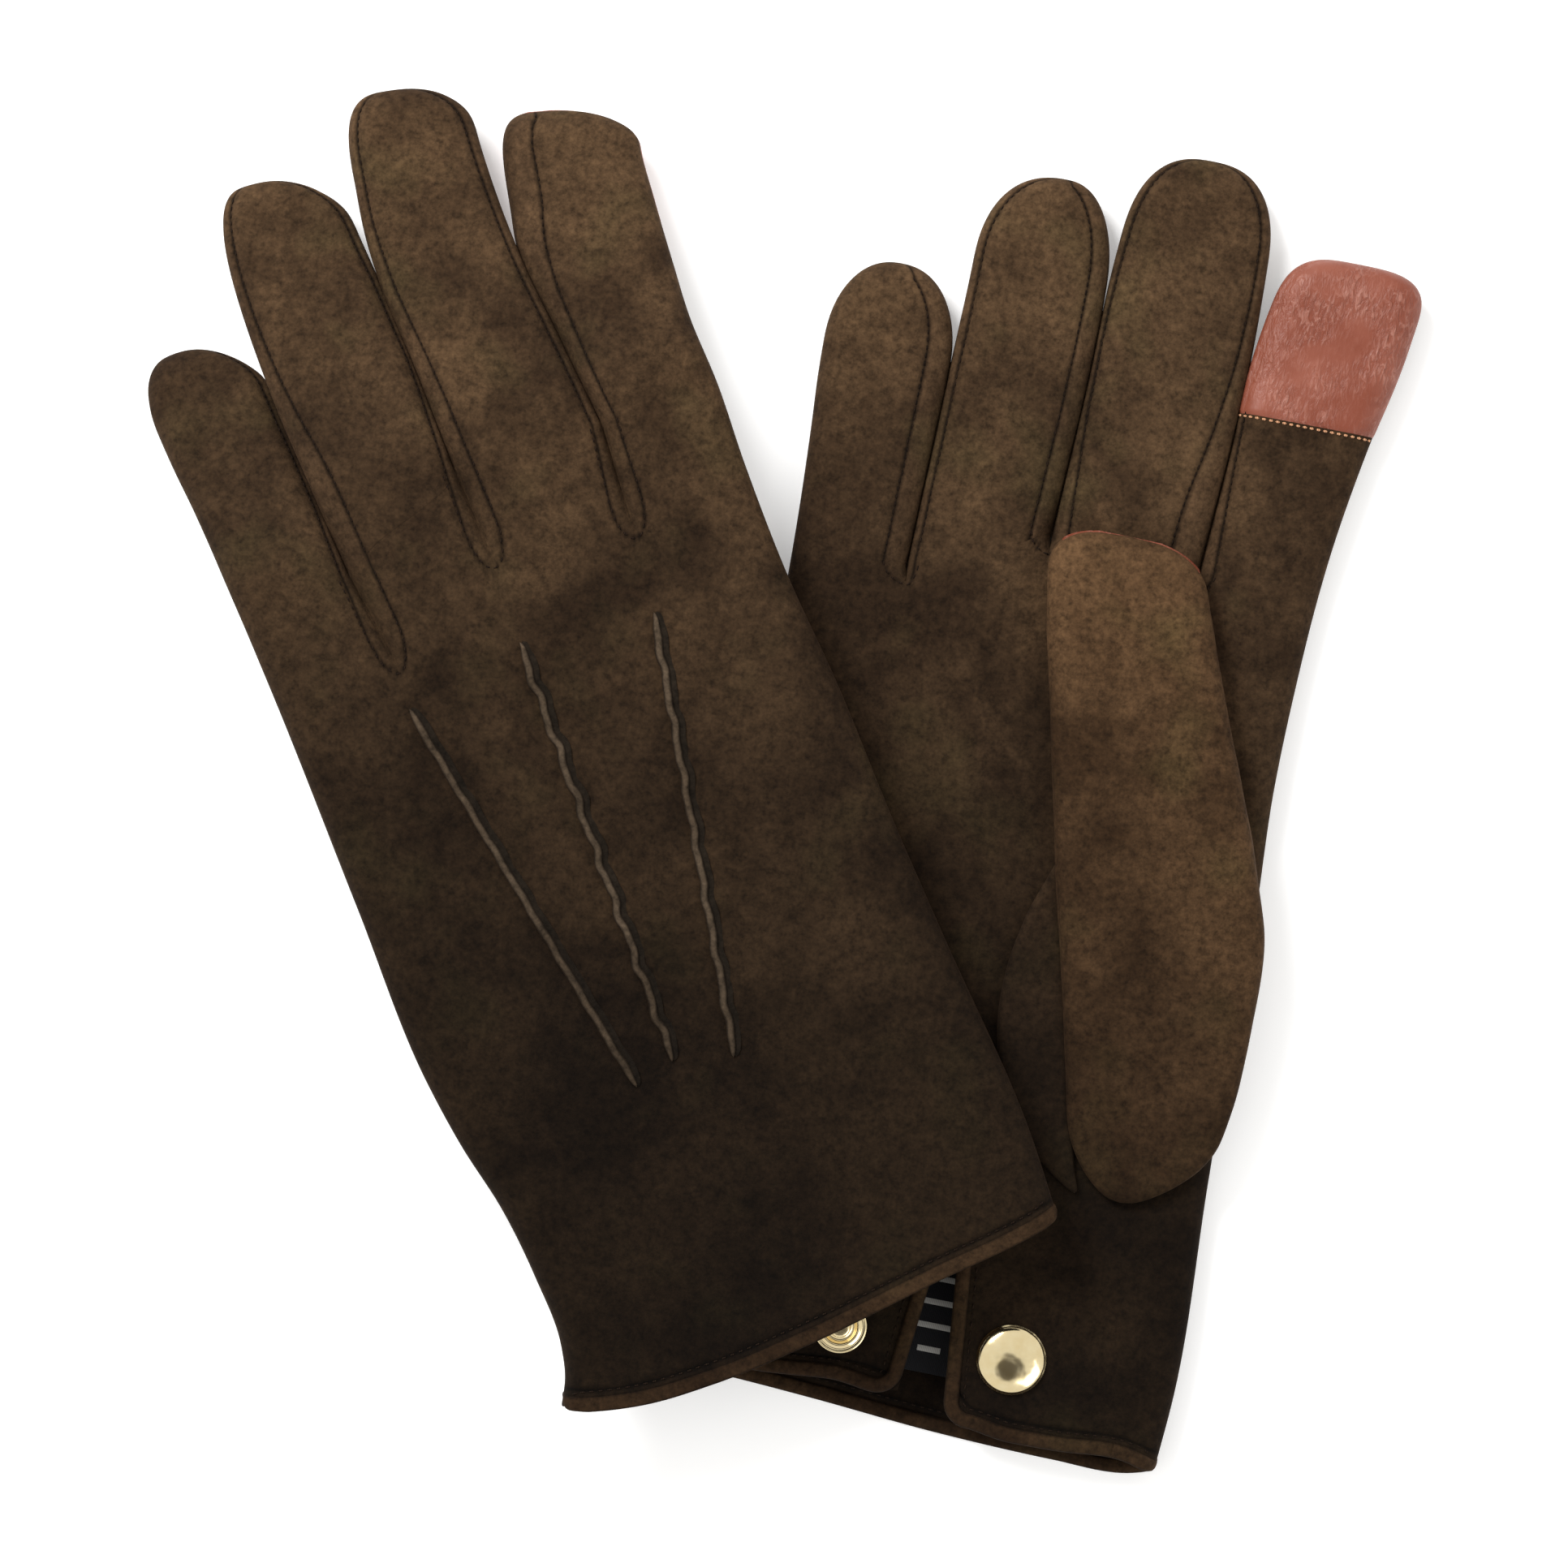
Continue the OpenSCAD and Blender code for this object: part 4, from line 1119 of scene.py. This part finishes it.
# ---- The points on the back ----
# Three pinched seams run down the back of the hand, each a bead over a dark strip that shows beside it as its
# stitched fold and its painted shadow.
# They stand up in small waves on the upper glove, and are pressed flat under the lower
# one. Each has its upper end, its lower end and how wavy it is.
point_lines = (
    ((-26.9, 131), (-13.5, 50), 0.3),
    ((-3.3, 135), (-5.4, 52), 1.1),
    ((22, 131), (5.5, 48.5), 0.7))
for side in (RIGHT, LEFT):
    name = SIDES[side]
    nets = []
    for start, stop, waves in point_lines:
        start, stop = np.array(start, float), np.array(stop, float)
        length = np.linalg.norm(stop - start)
        along = (stop - start) / length
        beside = np.array((-along[1], along[0]))
        steps = np.linspace(0, length, 170)
        sway = 0.3 * np.sin(steps / 9.5 * 2 * math.pi) + 0.14 * np.sin(steps / 5.1 * 2 * math.pi + 1)
        sway = waves * sway
        line = start + np.outer(steps, along) + np.outer(sway, beside)
        points = []
        for x, y in line:
            hit, _, _, _ = surfaces[side].ray_cast(Vector((x, y, -5)), Vector((0, 0, 1)))
            lift = 0.0 if side == RIGHT else 0.2 * math.sin(len(points) * 0.37) - 0.1
            points.append((x, y, hit.z + lift))
        points = np.array(points)
        downs = [(0, 0, -1)] * len(points)
        fold_and_shadow_line = points + np.array((beside[0], beside[1], 0)) * 0.55
        # A flat strip painted dark all over, wider than the bead and set to one side: the stitched fold beside the
        # bead and the bead's painted shadow. The bead's own sides are painted dark as shade.
        fold = roll(fold_and_shadow_line, downs, 1.35, 0.2, 16, 10, 0)
        bead = roll(points, downs, 0.76, 1.1 if side == LEFT else 0.4, 24, 10, 0.9)
        if side == RIGHT:
            for v in fold.verts:
                v.co.z = max(v.co.z, 0.1)
            for v in bead.verts:
                v.co.z = max(v.co.z, on_table)
        nets += [fold, bead]
    tucks = joined(nets, 0.0001)
    finished(f"{name}_points", tucks, side, HAND, edge_finish, [f"{name}_back_points"])

# ---- The stitching ----
# Fine dark thread runs along both sides of every finger, round the parting of the
# fingers, inside each hem and round the slit. Tan thread holds the index pads.
twist = {"Scale": 900, "Distortion": 0.5}
thread_finish, thread_shader, _, _, _, _ = two_toned(
    "dark_thread", "ShaderNodeTexWave", twist, rgb(16, 11, 8), rgb(40, 28, 19), 0.9)
thread_shader.inputs["Specular IOR Level"].default_value = 0.1
tan_thread, _, _, _, _, _ = two_toned(
    "tan_thread", "ShaderNodeTexWave", twist, rgb(150, 98, 66), rgb(214, 164, 124), 0.8)


def stitch(lines, surface, pitch, long, thick, sink=0.04):
    """One small bead of thread every pitch along each line, laid on a surface."""
    whole = bmesh.new()
    for line in lines:
        line = np.array(line, float)
        gone = np.concatenate([[0], np.cumsum(np.linalg.norm(np.diff(line, axis=0), axis=1))])
        for at in np.arange(pitch / 2, gone[-1], pitch):
            before, spot, after = (
                Vector([np.interp(at + step, gone, line[:, n]) for n in range(3)]) for step in (-0.4, 0, 0.4))
            ahead = after - before
            place, normal, _, _ = surface.find_nearest(spot)
            if place is None or ahead.length < 1e-6:
                continue
            ahead = (ahead - normal * ahead.dot(normal)).normalized()
            beside = normal.cross(ahead)
            frame_of = Matrix((ahead, beside, normal)).transposed().to_4x4()
            frame_of.translation = place + normal * (thick * 0.5 - sink)
            bead_size = Matrix.Diagonal((long / 2, thick * 0.8, thick * 0.75, 1))
            bmesh.ops.create_icosphere(whole, subdivisions=1, radius=1, matrix=frame_of @ bead_size)
    return whole


def finger_seams(side, i):
    """The lines along both sides of a finger, on its back and its palm."""
    lines = []
    for face in (BACK, PALM):
        for k in (RIM, PER - RIM):
            if (i == 0 and k == RIM) or (i == 3 and k == PER - RIM):
                continue
            start = crotch_row(i + k / PER)
            y = np.arange(start + 0.4, outlines[side][i][2] - 1.2, 0.8)
            x, tall, _ = finger_point(side, i, face, np.full(len(y), k), PER, RIM, y)
            z = middle_z + (1 if face == PALM else -1) * tall
            lines.append(drooped(side, i, np.stack([x, slanted(side, i, x, y), z], 1)))
    return lines


def parting_seams(side, face):
    """The U of stitches round each parting, from one finger's seam to the next one's."""
    lines = []
    for j in range(3):
        low, high, deep = parting(j, face)
        turn = np.linspace(0, 1, 40)
        straight = deep + (high - low - deep) * (turn - 0.5) * 2
        climb = np.where(turn < 0.5, deep * (1 - np.cos(turn * math.pi)), straight)
        y = low + climb
        u = np.clip(climb / deep, 0, 1)
        out = np.sqrt(1 - (1 - u) ** 2)
        z = np.full(len(y), middle_z + (1 if face == PALM else -1) * half_t)
        left_arm = np.stack([valleys[j](y) - seam_ins[side][face][j][1](y) * out, y, z], 1)
        right_arm = np.stack([valleys[j](y) + seam_ins[side][face][j + 1][0](y) * out, y, z], 1)
        lines.append(np.concatenate([left_arm[::-1], right_arm[1:]]))
    return lines


def shifted(path, by):
    """A path moved sideways over the palm."""
    ahead = np.gradient(path, axis=0)
    beside = np.stack([-ahead[:, 1], ahead[:, 0], np.zeros(len(path))], 1)
    beside = beside / np.linalg.norm(beside, axis=1)[:, None]
    return path + beside * by


hem_stitch = (1.7, 1.15, 0.22)
row_inside = 2.4
for side in (RIGHT, LEFT):
    name = SIDES[side]
    skin_tree = surfaces[side]
    for i, finger in enumerate(FINGERS):
        made = stitch(finger_seams(side, i), skin_tree, 1.5, 1.05, 0.22)
        finished(f"{name}_{finger}_stitches", made, side, i + 1, thread_finish)
    low_x, high_x = round_side(side, 1), round_side(side, -1)
    back_x = np.linspace(low_x[0] + 1.5, high_x[0] - 1.5, 60)
    back_row = np.stack([back_x, hem_y(side, back_x, BACK) + 4.0, np.full(60, middle_z - half_t)], 1)
    stud_row = shifted(slit_path(side, -1, low_x[-1]), row_inside)
    hand_rows = [back_row, stud_row] + parting_seams(side, BACK) + parting_seams(side, PALM)
    made = stitch(hand_rows, skin_tree, *hem_stitch)
    finished(f"{name}_hand_stitches", made, side, HAND, thread_finish)
    flap_row = shifted(slit_path(side, 1, 48.5), -row_inside)
    made = stitch([flap_row], skin_tree, *hem_stitch)
    finished(f"{name}_flap_stitches", made, side, FLAP, thread_finish)
    pad_y = 198.0 if side == RIGHT else 198.4
    k = np.linspace(1, PER - 1, 40)
    x, tall, _ = finger_point(side, 3, PALM, k, PER, RIM, np.full(40, pad_y))
    pad_line = drooped(side, 3, np.stack([x, np.full(40, pad_y), middle_z + tall], 1))
    made = stitch([pad_line], skin_tree, 1.3, 0.95, 0.34)
    finished(f"{name}_patch_stitches", made, side, INDEX, tan_thread)

# ---- The snaps ----
# Gilt brass, turned and polished: a domed cap riveted through the flap over a
# spring socket, and a ring-shaped stud held by an eyelet on the other side.
deep_gilt, pale_gilt = (0.86, 0.68, 0.36, 1), (0.98, 0.86, 0.56, 1)
gilt_finish, gilt_shader, gilt_place, _, add, bump = two_toned(
    "polished_gilt", "ShaderNodeTexNoise", {"Scale": 500, "Detail": 3}, deep_gilt, pale_gilt, 0.14)
dents = add("ShaderNodeTexNoise", {"Scale": 190, "Detail": 2}, Vector=gilt_place)
bump(dents, 0.45, 0.0005)
gilt_shader.inputs["Metallic"].default_value = 1


def turned(profile, at, steps=64):
    """A turned piece: its profile, as (radius, height), spun about an upright line."""
    made = bmesh.new()
    points = [made.verts.new((at[0] + r, at[1], at[2] + z)) for r, z in profile]
    edges = [made.edges.new(pair) for pair in zip(points, points[1:])]
    bmesh.ops.spin(made, geom=points + edges, cent=at, axis=(0, 0, 1), angle=2 * math.pi, steps=steps,
                   use_merge=True)
    bmesh.ops.remove_doubles(made, verts=made.verts, dist=0.001)
    bmesh.ops.recalc_face_normals(made, faces=made.faces)
    return made


cap_at = (19.9, 15.5)
stud_at = (-12.9, 15.5)
dome = [(6.35 * math.sin(a), 0.42 + 1.75 * math.cos(a)) for a in np.linspace(0, math.pi / 2, 14)]
rim = [(6.58, 0.36), (6.62, 0.2), (6.5, 0.05), (6.0, 0.0), (0.0, 0.0)]
cap_profile = [(0.0, 2.17)] + dome[1:] + rim
ring = [
    (0.9, 1.0), (0.9, 2.35), (1.2, 2.6), (1.8, 2.6), (2.05, 2.3), (1.9, 1.7), (1.75, 1.1),
    (2.1, 0.75), (2.6, 0.55), (3.0, 0.72), (3.3, 0.95), (3.7, 1.0), (4.0, 0.8), (4.3, 0.62),
    (4.6, 0.8), (4.9, 0.85), (5.15, 0.6), (5.2, 0.3), (5.0, 0.0), (0.9, 0.0), (0.9, 1.0)]
snap_parts = (
    ("cap_dome", cap_profile, cap_at, CAP, "snap_cap"),
    ("stud_ring", ring, stud_at, HAND, "snap_stud"))
for side in (RIGHT, LEFT):
    name = SIDES[side]
    for snap_name, profile, spot, part, replaced in snap_parts:
        under, _, _, _ = surfaces[side].ray_cast(Vector((spot[0], spot[1], 30)), Vector((0, 0, -1)))
        made = turned(profile, Vector((spot[0], spot[1], under.z - 0.02)))
        finished(f"{name}_{snap_name}", made, side, part, gilt_finish, [f"{name}_{replaced}"])
    for node in ("snap_socket", "snap_eyelet"):
        pressed = frame["nodes"][f"{name}_{node}"]
        pressed.data.materials.clear()
        pressed.data.materials.append(gilt_finish)

# ---- The size label ----
# A black woven ribbon, sewn flat to the lining behind the slit. Plain pale bars
# stand where such labels carry their words.
ribbon_black, ribbon_grey = (0.004, 0.004, 0.005, 1), (0.012, 0.012, 0.014, 1)
ribbon_finish, ribbon_shader, _, weave, _, bump = two_toned(
    "black_ribbon", "ShaderNodeTexWave", {"Scale": 1300, "Distortion": 0.2}, ribbon_black, ribbon_grey, 0.7)
bump(weave, 0.5, 0.0001)
ribbon_shader.inputs["Specular IOR Level"].default_value = 0.12
bar_grey, bar_white = (0.22, 0.215, 0.2, 1), (0.48, 0.47, 0.44, 1)
bar_finish, _, _, _, _, _ = two_toned(
    "pale_thread", "ShaderNodeTexWave", {"Scale": 1300, "Distortion": 0.4}, bar_grey, bar_white, 0.7)
label_w, label_y, label_l = 20, 9.5, 38
bar_widths = (0.22, 0.34, 0.3, 0.36, 0.26, 0.34, 0.2)


def slip(made, half_wide, low_y, high_y, low_z, high_z):
    """A thin flat slip across the slit's line, with softened edges, added to made."""
    middle = Matrix.Translation((slit_x, (low_y + high_y) / 2, (low_z + high_z) / 2))
    thick = high_z - low_z
    size = Matrix.Diagonal((2 * half_wide, high_y - low_y, thick, 1))
    got = bmesh.ops.create_cube(made, size=1, matrix=middle @ size)
    edges = {e for v in got["verts"] for e in v.link_edges}
    bmesh.ops.bevel(made, geom=list(edges), offset=thick * 0.3, affect="EDGES", segments=2, profile=0.5,
                    material=-1)


for side in (RIGHT, LEFT):
    name = SIDES[side]
    ribbon = bmesh.new()
    slip(ribbon, label_w / 2, label_y, label_y + label_l, 2.05, 2.4)
    finished(f"{name}_label_ribbon", ribbon, side, HAND, ribbon_finish, [f"{name}_size_label"])
    bars = bmesh.new()
    for n, wide_part in enumerate(bar_widths):
        foot = label_y + 4 + n * 4.5
        slip(bars, wide_part * label_w / 2, foot, foot + 1.1, 2.36, 2.44)
    finished(f"{name}_label_bars", bars, side, HAND, bar_finish)
